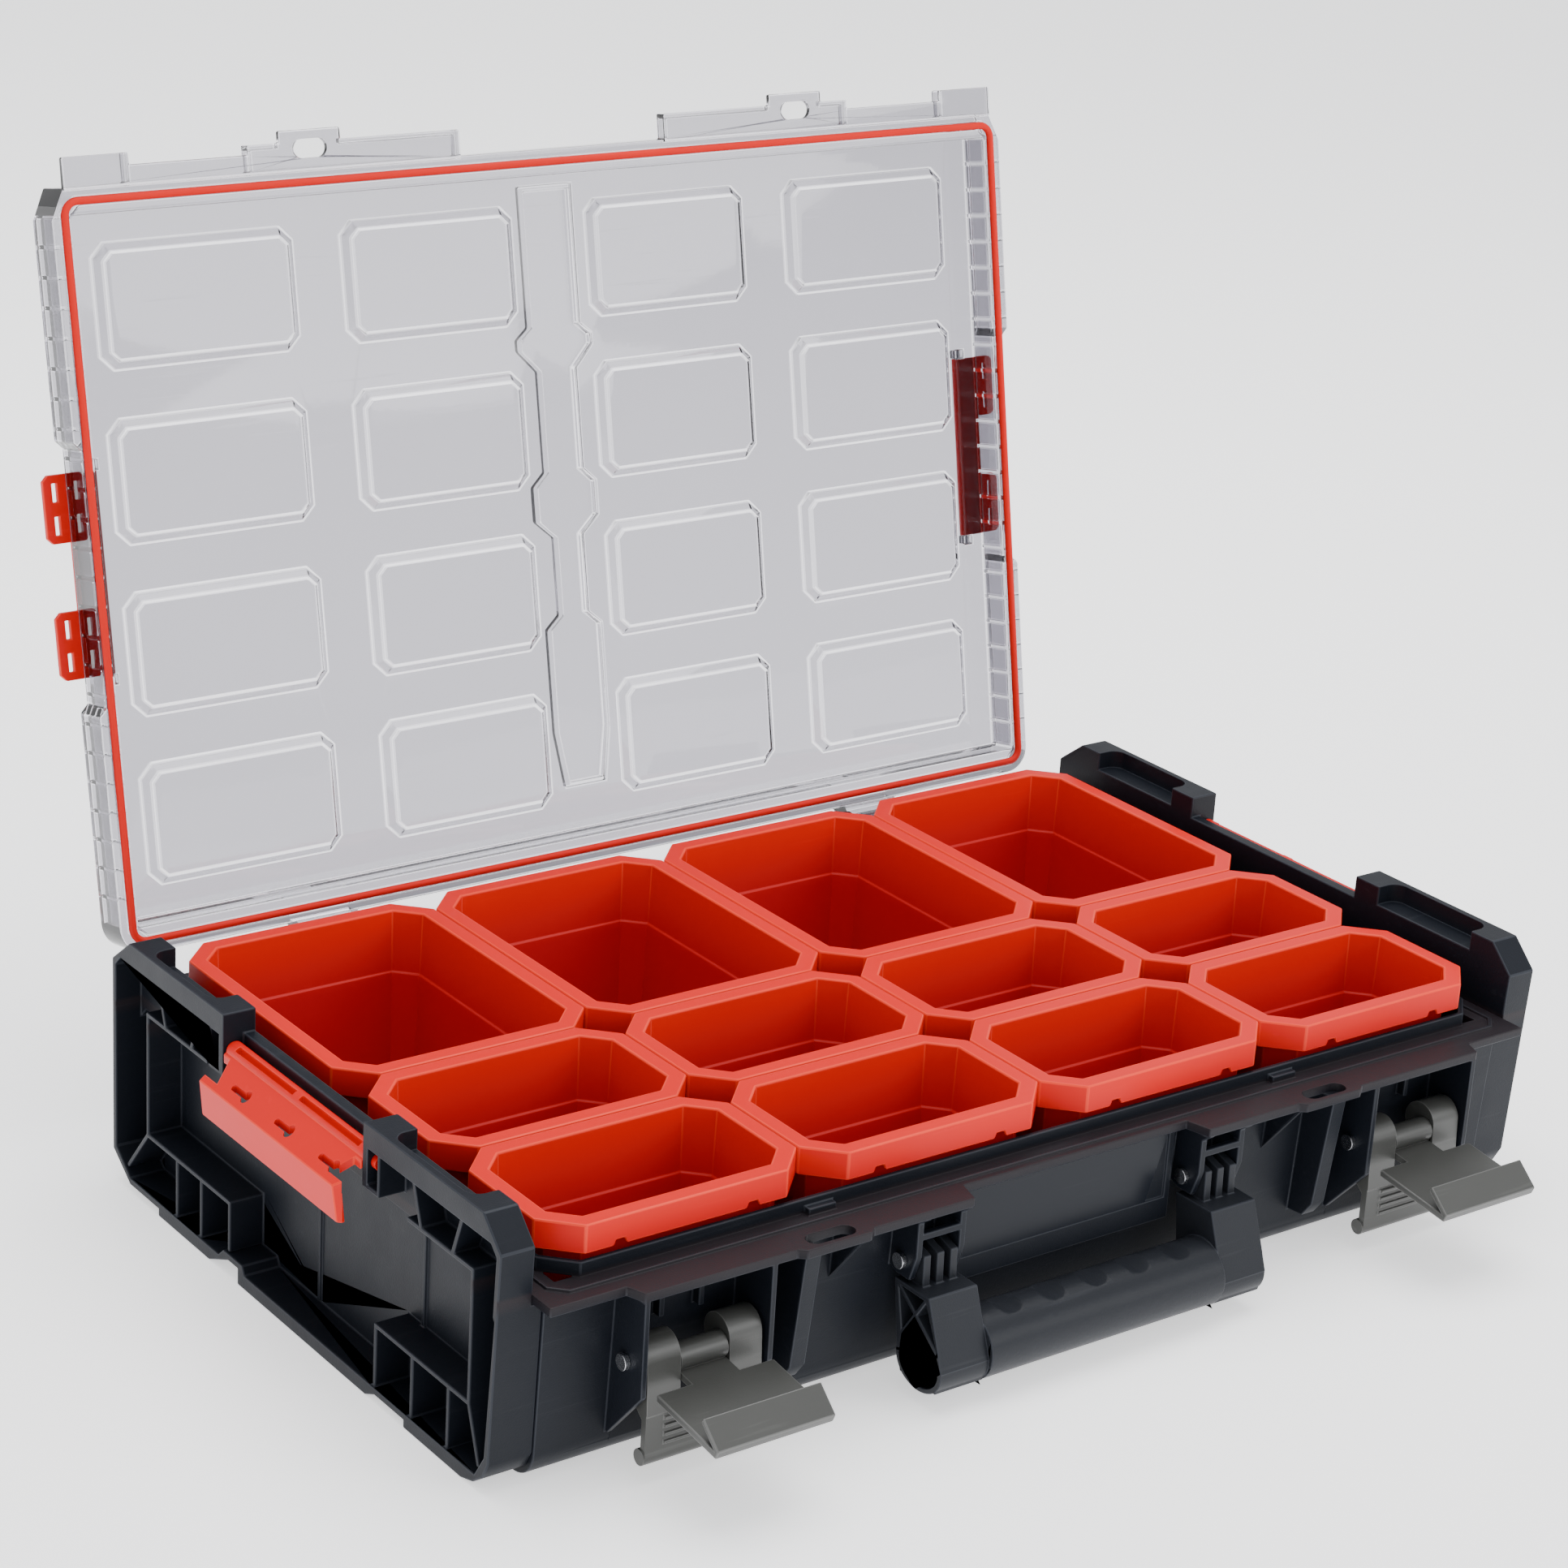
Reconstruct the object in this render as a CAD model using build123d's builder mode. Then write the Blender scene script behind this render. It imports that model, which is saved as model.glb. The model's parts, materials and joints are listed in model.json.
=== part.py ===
from build123d import *
import os
from math import cos, radians, sin, tan

# A portable organizer for small parts: a low case with twelve lift-out bins, a clear hinged lid,
# two toggle latches, a carrying handle and stacking posts with side latches.
# Millimetres. X runs right along the front, Y to the rear, Z up.
# The origin is the middle of the case's underside. The lid stands open, as it is shown.

os.makedirs("parts", exist_ok=True)

# Bins: a grid of cells, four across and four deep
column_pitch = 120
row_pitch = 73.8
column_count = 4
row_count = 4
bin_gap = 0.8
bin_top = 102
bin_corner = 14
bin_lip_width = 7.5
bin_lip_thickness = 1.8
bin_skirt_depth = 12
bin_skirt_wall = 1.8
bin_wall = 1.5
bin_draft = 2
bin_floor = 1.8
bin_foot_chamfer = 3.2
bin_step_depth = 28
bin_step_width = 0.8
bin_notch_width = 6
bin_notch_depth = 2.4
bin_notch_inset = 30

# Case
seat_gap = 0.3
case_floor = 3
case_wall = 2.6
case_front_wall = 1.8
case_side_room = 6
case_front_room = 0.6
case_front_lean = 4
case_foot_radius = 14
case_rear_chamfer = 12
flange_top = 82
flange_thickness = 4
flange_side_reach = 4.5
flange_front_reach = 14.8
flange_rear_reach = 13
lip_height = 6
lip_wall = 2.2
lip_side_inset = 2
lip_corner = 12
lip_hook_width = 13
lip_hook_reach = 3
seal_side_reach = 3.6
seal_end_reach = 8.4
seal_rib_height = 1.2
seal_rib_width = 1.6
seal_corner = 6

# Label panel between the handle brackets
panel_half_width = 56
panel_bottom = 37
panel_thickness = 4
label_bottom = 47
label_thickness = 1
label_edge = 3

# Handle, its brackets and pins
bracket_centre = 73
bracket_width = 24
bracket_ear = 3
bracket_front = 171
bracket_face = 167
bracket_corbel = 3
bracket_foot = 49
bracket_bar = 3
bracket_window = 11
handle_pin_y = -158.5
handle_pin_z = 56
handle_pin_radius = 2
handle_finger_count = 3
handle_finger_width = 3.6
handle_knuckle_radius = 6.4
handle_play = 0.6
handle_arm_top = 47
handle_tube_y = -173
handle_tube_z = 16.8
handle_tube_half_depth = 14
handle_tube_half_height = 11.2
handle_tube_wall = 2.2
handle_grip_rise = 6
handle_rib = 1.8
handle_pocket = 17
scallop_count = 5
scallop_pitch = 22
scallop_radius = 13
scallop_depth = 1.5

# Toggle latches
latch_centre = 184.6
recess_half_width = 27.4
recess_wall = 2.5
recess_front = 171
recess_foot = 38
latch_pin_y = -160.3
latch_pin_z = 49.4
latch_pin_radius = 2
latch_pin_grip = 7
lever_half_width = 26
lever_ear_width = 15
lever_ear_radius = 8.5
lever_bar_y = -166.7
lever_bar_z = 10.9
lever_bar_radius = 3.4
lever_plate = 3
hook_pivot_y = -163.5
hook_pivot_z = 47
hook_barrel_radius = 5.4
hook_trunnion_radius = 2.6
hook_trunnion_length = 5
hook_plate = 3
hook_drop = 3.5
hook_slope = 7
hook_reach = 50.5
hook_neck = 12.5
hook_half_width = 26.5
hook_lip = 12
padlock_centre = 128
padlock_half_width = 15
padlock_reach = 173.5
padlock_slot = 22
padlock_slot_width = 8
padlock_slot_y = -167
pillar_offset = 8.5
pillar_width = 7.5
recess_rib = 2.5
recess_rib_x = 9
recess_rib_depth = 4.2
recess_rib_foot = 58

# End frames with posts, rail and skids
frame_width = 15
frame_web = 3
frame_wall = 3
frame_rear = 151.5
frame_front_reach = 152.2
frame_front_foot = 148.2
frame_clear = 3.2
frame_arch = 7
post_top = 114
post_plate = 10
post_inner = 55
post_rear_end = 136
post_front_end = 139.9
post_shoulder = 12
post_block_inner = 15
post_block_outer = 13
post_rim = 3.5
rail_width = 5.5
frame_rib = 2
frame_shelf = 32
frame_rib_top = 87
web_rib_rise = 1.2
post_window = 7
post_window_wall = 3.5

# Side latches
side_pivot_inset = 5
side_pivot_z = 98
side_barrel_radius = 3.9
side_trunnion_radius = 3.2
side_trunnion_length = 7
side_bearing_depth = 12
side_latch_gap = 0.8
side_plate = 2.8
side_edge_reach = 11
side_edge_z = 88.3
side_band_foot = 73
side_band_lean = 1.5
side_slot = 46
side_slot_width = 2.4
side_slot_y = 25.4
side_slot_x = 1.8
side_key_x = 11
side_key_y = -10
side_key_pitch = 34.4
side_key_radius = 2.3
side_key_slot = 12
side_key_width = 2.2
side_notch = 10
side_corner = 4

# Lid, given as it lies when it is shut
lid_open = 101.3
lid_hinge_y = 169.2
lid_hinge_z = 82.6
lid_bottom = 85.5
lid_skin = 2
lid_headroom = 0.3
lid_side_gap = 1.2
lid_end_reach = 13.9
lid_wall_side = 8.6
lid_wall_end = 11.5
lid_clip_step = 3.6
lid_clip_half = 54
lid_corner_x = 6
lid_corner_y = 13
lid_rear_corner = 12
lid_pad_depth = 4
lid_pad_slope = 45
lid_pad_corner = 6
lid_pad_half_depth = 26.5
lid_pad_inner = (19.6, 107)
lid_pad_outer = (130.7, 225.4)
lid_ridge_height = 3
lid_cell_pitch = 12.5
lid_cell_wall = 1.5
lid_cell_floor = 3.5
lid_flange = 2.4
lid_flange_reach = 169
lid_flange_foot = 84.2
lid_eye_reach = 178
lid_eye_half = 15
lid_eye_slot = 16
lid_catch_inner = 158
lid_catch_outer = 213
lid_tab_reach = 174
lid_hook_reach = 173
lid_hook_start = 54
lid_hook_wall = 2
lid_hook_top = 90
gasket_radius = 1.7
gasket_stand = 2
gasket_bend = 3

# Lid hinges and clips
hinge_centre = 150
hinge_knuckle = 30
hinge_ear = 12
hinge_radius = 5.7
hinge_pin_radius = 2.2
clip_half_length = 43.5
clip_inner = 14.5
clip_pivot_inset = 16.3
clip_barrel_radius = 2.4
clip_pin_radius = 1.1
clip_plate = 2.4
clip_reach = 6.7
clip_lug = 4
pin_play = 0.05

# Worked out from the sizes above
bins_half_length = column_count * column_pitch / 2
bins_half_depth = row_count * row_pitch / 2
case_half_length = bins_half_length + case_side_room
case_half_depth = bins_half_depth + case_front_room + case_front_wall
case_front_foot = case_half_depth - case_front_wall
case_front_top = case_front_foot + case_front_lean
flange_bottom = flange_top - flange_thickness
flange_half_length = case_half_length + flange_side_reach
flange_front = case_front_foot + flange_front_reach
flange_rear = case_half_depth + flange_rear_reach
opening_half_length = bins_half_length - lip_side_inset
opening_half_depth = case_half_depth - case_wall - 1.2
seal_half_length = bins_half_length + seal_side_reach
seal_half_depth = bins_half_depth + seal_end_reach
frame_outer = flange_half_length + frame_width
lid_top = bin_top + lid_headroom + lid_skin
lid_inner_top = lid_top - lid_skin
lid_half_length = flange_half_length - lid_side_gap
lid_half_depth = bins_half_depth + lid_end_reach
bracket_inner = bracket_centre - bracket_width / 2
bracket_outer = bracket_centre + bracket_width / 2


# Shared shapes
def span(x1, x2, y1, y2, mode=Mode.ADD):
    """A rectangle between two corners of the sketch."""
    with Locations(((x1 + x2) / 2, (y1 + y2) / 2)):
        Rectangle(abs(x2 - x1), abs(y2 - y1), mode=mode)


def outline(points, mode=Mode.ADD):
    """A closed face through corner points."""
    with BuildLine() as edge_line:
        Polyline(*points, close=True)
    make_face(edge_line.edges(), mode=mode)


def cut_corner_box(half_x, half_y, corner, x=0, y=0, mode=Mode.ADD):
    """A rectangle with its four corners cut off."""
    outline([
        (x - half_x + corner, y - half_y),
        (x + half_x - corner, y - half_y),
        (x + half_x, y - half_y + corner),
        (x + half_x, y + half_y - corner),
        (x + half_x - corner, y + half_y),
        (x - half_x + corner, y + half_y),
        (x - half_x, y + half_y - corner),
        (x - half_x, y - half_y + corner),
    ], mode)


def plate(plane, points, thickness, mode=Mode.ADD):
    """A plate with straight edges that stands on a plane."""
    with BuildSketch(plane) as plan:
        outline(points)
    extrude(plan.sketch, amount=thickness, mode=mode)


def block(x1, x2, y1, y2, z1, z2, mode=Mode.ADD):
    """A rib or pocket with faces along the main directions."""
    with BuildSketch(Plane.XY.offset(z1)) as plan:
        span(x1, x2, y1, y2)
    extrude(plan.sketch, amount=z2 - z1, mode=mode)


def rod(plane, x, y, radius, length, mode=Mode.ADD):
    """A round bar or bore that starts on a plane."""
    with BuildSketch(plane) as plan:
        with Locations((x, y)):
            Circle(radius)
    extrude(plan.sketch, amount=length, mode=mode)


def save(piece, name):
    """Write one piece to its own file."""
    piece.part.label = name
    export_step(piece.part, f"parts/{name}.step")


# Planes of the open lid. Positions on them are those of the shut lid.
lid_normal = Vector(0, sin(radians(lid_open)), cos(radians(lid_open)))
lid_rearward = Vector(0, cos(radians(lid_open)), -sin(radians(lid_open)))
lid_axis = Vector(0, lid_hinge_y, lid_hinge_z)


def lid_point(x, y, z):
    """Where a point of the shut lid lies while the lid stands open."""
    return lid_axis + Vector(x, 0, 0) + lid_rearward * (y - lid_hinge_y) + lid_normal * (z - lid_hinge_z)


def lid_plane(z):
    """A level of the lid: x to the right and y to the rear of the shut lid."""
    return Plane(origin=lid_point(0, 0, z), x_dir=(1, 0, 0), z_dir=lid_normal)


def lid_section(x):
    """An upright plane of the lid: rear and up of the shut lid."""
    return Plane(origin=lid_point(x, 0, 0), x_dir=lid_rearward, z_dir=(1, 0, 0))


def lid_lengthwise(y):
    """An upright plane of the lid along its length: right and up of the shut lid."""
    return Plane(origin=lid_point(0, y, 0), x_dir=(1, 0, 0), z_dir=-lid_rearward)


def seal_loop(half_length, half_depth, corner, width):
    """A band that follows the seal, with cut corners."""
    turn = width / 2 * tan(radians(22.5))
    cut_corner_box(half_length + width / 2, half_depth + width / 2, corner + turn)
    cut_corner_box(half_length - width / 2, half_depth - width / 2, corner - turn, mode=Mode.SUBTRACT)


# Tub
def flange_outline():
    """Plan of the flange: a plain rim with forward steps at latches, tabs and brackets."""
    step = 3
    right = [
        (flange_half_length, -flange_front),
        (latch_centre + recess_half_width + recess_wall + step, -flange_front),
        (latch_centre + recess_half_width + recess_wall, -recess_front),
        (padlock_centre + padlock_half_width + step, -recess_front),
        (padlock_centre + padlock_half_width, -padlock_reach),
        (padlock_centre - padlock_half_width, -padlock_reach),
        (padlock_centre - padlock_half_width - step, -bracket_front),
        (bracket_inner, -bracket_front),
        (bracket_inner - step, -(flange_front - step)),
    ]
    left = [(-x, y) for x, y in reversed(right)]
    rear = [(-flange_half_length, flange_rear), (flange_half_length, flange_rear)]
    outline(right + left + rear)


def tub_body():
    """The floor and walls, with a leaning front, a rounded front foot and a chamfered rear one."""
    with BuildSketch(Plane.YZ.offset(-case_half_length)) as plan:
        outline([
            (-case_front_foot, 0),
            (case_half_depth, 0),
            (case_half_depth, flange_bottom),
            (-case_front_top, flange_bottom),
        ])
        fillet(vertices().group_by(Axis.Y)[0].sort_by(Axis.X)[0], case_foot_radius)
        chamfer(vertices().group_by(Axis.Y)[0].sort_by(Axis.X)[-1], case_rear_chamfer)
    extrude(plan.sketch, amount=2 * case_half_length)
    with BuildSketch(Plane.YZ.offset(case_wall - case_half_length)) as plan:
        outline([
            (case_wall - case_front_foot, case_floor),
            (case_half_depth - case_wall, case_floor),
            (case_half_depth - case_wall, flange_bottom),
            (case_wall - case_front_foot, flange_bottom),
        ])
        fillet(vertices().group_by(Axis.Y)[0].sort_by(Axis.X)[0], case_foot_radius - case_wall)
        chamfer(vertices().group_by(Axis.Y)[0].sort_by(Axis.X)[-1], case_rear_chamfer - case_wall / 2)
    extrude(plan.sketch, amount=2 * (case_half_length - case_wall), mode=Mode.SUBTRACT)


def tub_rim():
    """The flange, the lip ring under the bins' skirts and the raised seal line."""
    with BuildSketch(Plane.XY.offset(flange_bottom)) as plan:
        flange_outline()
        Rectangle(2 * opening_half_length, 2 * opening_half_depth, mode=Mode.SUBTRACT)
    extrude(plan.sketch, amount=flange_thickness)
    with BuildSketch(Plane.XY.offset(flange_top)) as plan:
        cut_corner_box(opening_half_length + lip_wall, opening_half_depth + lip_wall, lip_corner)
        cut_corner_box(
            opening_half_length, opening_half_depth, lip_corner - lip_wall * tan(radians(22.5)),
            mode=Mode.SUBTRACT,
        )
    extrude(plan.sketch, amount=lip_height)
    with BuildSketch(Plane.XY.offset(flange_top)) as plan:
        seal_loop(seal_half_length, seal_half_depth, seal_corner, seal_rib_width)
    extrude(plan.sketch, amount=seal_rib_height)
    for side in (-1, 1):
        hook = side * column_pitch
        block(
            hook - lip_hook_width / 2, hook + lip_hook_width / 2,
            -opening_half_depth - lip_wall - lip_hook_reach, -opening_half_depth,
            flange_top, flange_top + lip_height / 2,
        )


def tub_latch_recess(side):
    """One latch recess: a flat back between two deep walls, and pillars beside it."""
    middle = side * latch_centre
    block(
        middle - recess_half_width, middle + recess_half_width,
        -recess_front, -case_front_foot,
        0, flange_bottom, Mode.SUBTRACT,
    )
    wall = [
        (-case_front_foot + case_wall, flange_bottom),
        (-recess_front, flange_bottom),
        (-recess_front, recess_foot),
        (-case_front_top + 2, case_foot_radius),
        (-case_front_foot + case_wall, case_foot_radius),
    ]
    for start in (middle - recess_half_width - recess_wall, middle + recess_half_width):
        plate(Plane.YZ.offset(start), wall, recess_wall)
    for rib in (middle - recess_rib_x, middle + recess_rib_x):
        block(
            rib - recess_rib / 2, rib + recess_rib / 2,
            -case_front_foot - recess_rib_depth, case_wall / 2 - case_front_foot,
            recess_rib_foot, flange_bottom,
        )
    pin_line = Plane.YZ.offset(middle - recess_half_width - recess_wall)
    rod(
        pin_line, latch_pin_y, latch_pin_z, latch_pin_radius + pin_play,
        2 * (recess_half_width + recess_wall), Mode.SUBTRACT,
    )


def tub_pillars(side):
    """A pillar beside the latch recess and a gusset under the padlock tab."""
    pillar = [
        (-case_front_foot + case_wall, flange_bottom),
        (-recess_front + 2, flange_bottom),
        (-recess_front + 8, recess_foot - 12),
        (-recess_front + 13, recess_foot - 19),
        (-case_front_foot + case_wall, recess_foot - 20),
    ]
    middle = side * (padlock_centre + pillar_offset)
    plate(Plane.YZ.offset(middle - pillar_width / 2), pillar, pillar_width)
    gusset = [
        (-case_front_foot + case_wall, flange_bottom),
        (-padlock_reach + 3, flange_bottom),
        (-case_front_foot + case_wall, recess_foot + 8),
    ]
    start = side * (padlock_centre - padlock_half_width) - recess_wall / 2
    plate(Plane.YZ.offset(start), gusset, recess_wall)


def tub_bracket(side):
    """One handle bracket: two ears, and a cross bar in front."""
    ear = [
        (-case_front_foot + case_wall, flange_bottom),
        (-bracket_front, flange_bottom),
        (-bracket_face, flange_bottom - bracket_corbel),
        (-bracket_face, handle_pin_z + 4),
        (handle_pin_y - 5, bracket_foot),
        (handle_pin_y + 3, bracket_foot),
        (-case_front_foot + case_wall, bracket_foot + 4),
    ]
    low = side * bracket_centre - bracket_width / 2
    high = side * bracket_centre + bracket_width / 2
    for start in (low, high - bracket_ear):
        plate(Plane.YZ.offset(start), ear, bracket_ear)
    bar_top = flange_bottom - bracket_window + bracket_bar
    block(low, high, -bracket_face, -bracket_face + bracket_bar, bar_top - bracket_bar, bar_top)
    rod(
        Plane.YZ.offset(low), handle_pin_y, handle_pin_z, handle_pin_radius + pin_play,
        bracket_width, Mode.SUBTRACT,
    )


def tub_hinge_ears(side):
    """Two rear ears for one lid hinge."""
    ear = [
        (case_half_depth - case_wall, flange_bottom - 20),
        (case_half_depth, flange_bottom - 20),
        (lid_hinge_y + hinge_radius * 0.7, lid_hinge_z - hinge_radius * 0.7),
        (lid_hinge_y, lid_hinge_z),
        (lid_hinge_y - hinge_radius, lid_hinge_z),
        (lid_hinge_y - hinge_radius, flange_bottom),
        (case_half_depth - case_wall, flange_bottom),
    ]
    middle = side * hinge_centre
    reach = hinge_knuckle / 2 + seat_gap
    for start in (middle - reach - hinge_ear, middle + reach):
        plane = Plane.YZ.offset(start)
        plate(plane, ear, hinge_ear)
        rod(plane, lid_hinge_y, lid_hinge_z, hinge_radius, hinge_ear)
        rod(plane, lid_hinge_y, lid_hinge_z, hinge_pin_radius + pin_play, hinge_ear, Mode.SUBTRACT)


def make_tub():
    """The case moulding."""
    with BuildPart() as tub:
        tub_body()
        panel_face = case_front_top + panel_thickness
        block(
            -panel_half_width, panel_half_width, -panel_face, -case_front_foot + case_wall,
            panel_bottom, flange_bottom,
        )
        block(
            -panel_half_width + label_edge, panel_half_width - label_edge,
            -panel_face, -panel_face + label_thickness, label_bottom, flange_bottom,
            Mode.SUBTRACT,
        )
        for side in (-1, 1):
            tub_latch_recess(side)
            tub_pillars(side)
            tub_bracket(side)
        tub_rim()
        for side in (-1, 1):
            tub_hinge_ears(side)
        with BuildSketch(Plane.XY.offset(flange_bottom)):
            with Locations((-padlock_centre, padlock_slot_y), (padlock_centre, padlock_slot_y)):
                SlotOverall(padlock_slot, padlock_slot_width)
        extrude(amount=flange_thickness, mode=Mode.SUBTRACT)
    return tub


# End frames
def frame_outline():
    """Side view of an end frame: posts above, three skids below."""
    skid_rear = (66, 110.3)
    skid_middle = (-60, 41.8)
    skid_front = (-130, -88.5)
    outline([
        (post_rear_end, post_top),
        (frame_rear, post_top - post_shoulder),
        (frame_rear, case_foot_radius),
        (post_rear_end, frame_clear),
        (skid_rear[1], frame_clear),
        (skid_rear[1], 0),
        (skid_rear[0], 0),
        (skid_middle[1] + 8, frame_arch),
        (skid_middle[1], frame_arch),
        (skid_middle[1], 0),
        (skid_middle[0], 0),
        (skid_middle[0] - 7, frame_clear),
        (skid_front[1], frame_clear),
        (skid_front[1], 0),
        (skid_front[0], 0),
        (-frame_front_foot + 10, 2.3),
        (-frame_front_foot + 3.7, 7),
        (-frame_front_foot, case_foot_radius),
        (-frame_front_reach, post_top - post_shoulder),
        (-post_front_end, post_top),
        (-post_inner, post_top),
        (-post_inner, post_top - post_plate),
        (post_inner, post_top - post_plate),
        (post_inner, post_top),
    ])


def frame_pocket(top):
    """Side view of the hollow inside an end frame's outer wall, up to one height."""
    outline([
        (frame_rear - frame_wall, case_foot_radius + 2),
        (frame_rear - frame_wall, top - 4),
        (frame_rear - frame_wall - 4, top),
        (-frame_front_reach + frame_wall + 4, top),
        (-frame_front_reach + frame_wall, top - 4),
        (-frame_front_foot + frame_wall, case_foot_radius + 2),
        (-frame_front_foot + frame_wall + 6, frame_clear + frame_wall),
        (36, frame_clear + frame_wall),
        (38, frame_arch + frame_wall),
        (54, frame_arch + frame_wall),
        (58, frame_clear + frame_wall),
        (post_rear_end, frame_clear + frame_wall),
    ])


def frame_ribs():
    """The C-shaped ribs, shelves and slanted braces inside an end frame."""
    foot = frame_clear + frame_wall
    post_floor = post_top - post_plate
    paths = [
        [(70, frame_rib_top), (122, frame_rib_top), (122, frame_shelf), (51, frame_shelf), (51, foot + 4)],
        [(-86, frame_rib_top), (-132, frame_rib_top), (-132, frame_shelf), (-65, frame_shelf), (-65, foot)],
        [(122, frame_shelf), (post_rear_end + 4, foot + 4)],
        [(-132, frame_shelf), (-frame_front_foot + 8, foot + 3)],
        [(84, frame_rib_top), (78, post_floor)],
        [(106, frame_rib_top), (112, post_floor)],
        [(-96, frame_rib_top), (-90, post_floor)],
        [(-118, frame_rib_top), (-124, post_floor)],
    ]
    with BuildSketch(Plane.YZ.offset(case_half_length + frame_web)) as plan:
        for path in paths:
            with BuildLine(mode=Mode.PRIVATE) as line:
                Polyline(*path)
            trace(line.line, line_width=frame_rib)
        for y in (96, 75, -92, -118):
            span(y - frame_rib / 2, y + frame_rib / 2, foot, frame_shelf)
    extrude(plan.sketch, amount=frame_outer - case_half_length - frame_web - 1)


def post_scoop(near, far):
    """The open hollow in the top of one post, between its end blocks."""
    with BuildSketch(Plane.XY.offset(post_top - post_plate + 1.5)) as plan:
        with Locations(((flange_half_length + frame_outer - post_rim) / 2 - 3, (near + far) / 2)):
            RectangleRounded(frame_width - post_rim + 6, far - near, 6)
    extrude(plan.sketch, amount=post_plate, mode=Mode.SUBTRACT)


def make_end_frame():
    """The right end frame."""
    post_floor = post_top - post_plate
    with BuildPart() as frame:
        with BuildSketch(Plane.YZ.offset(case_half_length)):
            frame_outline()
        extrude(amount=frame_outer - case_half_length)
        with BuildSketch(Plane.YZ.offset(case_half_length + frame_web)):
            frame_pocket(flange_bottom)
        extrude(amount=frame_width + flange_side_reach, mode=Mode.SUBTRACT)
        with BuildSketch(Plane.YZ.offset(flange_half_length + frame_web)):
            frame_pocket(post_floor)
        extrude(amount=frame_width, mode=Mode.SUBTRACT)
        # The latch gap between the posts is open to the outside down to the pocket
        block(
            flange_half_length + rail_width, frame_outer, -post_inner, post_inner,
            flange_bottom, post_top, Mode.SUBTRACT,
        )
        block(
            flange_half_length + frame_web, flange_half_length + rail_width,
            -post_inner, post_inner, post_floor - 8, post_floor,
        )
        # The inner side stands clear of the flange
        block(
            case_half_length, flange_half_length, -frame_front_reach - 1, frame_rear + 1,
            flange_bottom, post_top, Mode.SUBTRACT,
        )
        frame_ribs()
        for y in (3, -76, -119):
            block(
                case_half_length + frame_web / 2, case_half_length + frame_web + web_rib_rise,
                y - frame_rib / 2, y + frame_rib / 2, frame_arch, flange_bottom,
            )
        block(
            case_half_length, flange_half_length, -frame_front_reach - 1, frame_rear + 1,
            flange_bottom, post_top, Mode.SUBTRACT,
        )
        # Bearing blocks of the side latch under the posts' inner ends
        for side in (-1, 1):
            near = side * post_inner
            far = side * (post_inner + side_bearing_depth)
            block(
                flange_half_length, frame_outer, min(near, far), max(near, far),
                frame_rib_top, post_floor,
            )
            near = side * (post_inner + post_window_wall)
            far = near + side * post_window
            block(
                frame_outer - 2 * side_pivot_inset, frame_outer, min(near, far), max(near, far),
                frame_rib_top + frame_rib, post_floor, Mode.SUBTRACT,
            )
        post_scoop(post_inner + post_block_inner, post_rear_end - post_block_outer)
        post_scoop(-post_front_end + post_block_outer, -post_inner - post_block_inner)
        rod(
            Plane.XZ.offset(-post_inner - side_trunnion_length - 1), frame_outer - side_pivot_inset,
            side_pivot_z, side_trunnion_radius + pin_play,
            2 * (post_inner + side_trunnion_length + 1), Mode.SUBTRACT,
        )
    return frame


# Bins
def make_bin(x, y, depth):
    """One bin: a tapered body under a wide lip with a hanging skirt."""
    half_width = (column_pitch - bin_gap) / 2
    half_depth = (depth - bin_gap) / 2
    foot = case_floor + seat_gap
    inset = bin_lip_width - bin_wall
    body_height = bin_top - foot
    floor_shrink = body_height * tan(radians(bin_draft))

    def cell(margin, mode=Mode.ADD):
        corner = bin_corner - margin * (2 - 2 ** 0.5)
        cut_corner_box(half_width - margin, half_depth - margin, corner, x, y, mode)

    with BuildPart() as one_bin:
        with BuildSketch(Plane.XY.offset(foot)):
            cell(inset + floor_shrink)
        extrude(amount=body_height, taper=-bin_draft)
        chamfer(faces().sort_by(Axis.Z)[0].edges(), bin_foot_chamfer)
        with BuildSketch(Plane.XY.offset(bin_top - bin_skirt_depth)):
            cell(0)
        extrude(amount=bin_skirt_depth)
        with BuildSketch(Plane.XY.offset(bin_top - bin_skirt_depth)):
            cell(bin_skirt_wall)
            cell(inset, Mode.SUBTRACT)
        extrude(amount=bin_skirt_depth - bin_lip_thickness, mode=Mode.SUBTRACT)
        # The hollow, wider above the step line
        step_z = bin_top - bin_step_depth
        inner = inset + bin_wall
        step_shrink = bin_step_depth * tan(radians(bin_draft))
        with BuildSketch(Plane.XY.offset(step_z)):
            cell(inner + step_shrink)
        extrude(amount=bin_step_depth, taper=-bin_draft, mode=Mode.SUBTRACT)
        with BuildSketch(Plane.XY.offset(foot + bin_floor)):
            cell(inner + floor_shrink + bin_step_width)
        extrude(amount=step_z - foot - bin_floor, taper=-bin_draft, mode=Mode.SUBTRACT)
        # Notches in the lower edge of the skirt along the front and rear
        for notch_x in (-bin_notch_inset, bin_notch_inset):
            block(
                x + notch_x - bin_notch_width / 2, x + notch_x + bin_notch_width / 2,
                y - half_depth - 1, y - half_depth + bin_skirt_wall + 0.1,
                bin_top - bin_skirt_depth, bin_top - bin_skirt_depth + bin_notch_depth,
                Mode.SUBTRACT,
            )
    return one_bin


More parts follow.
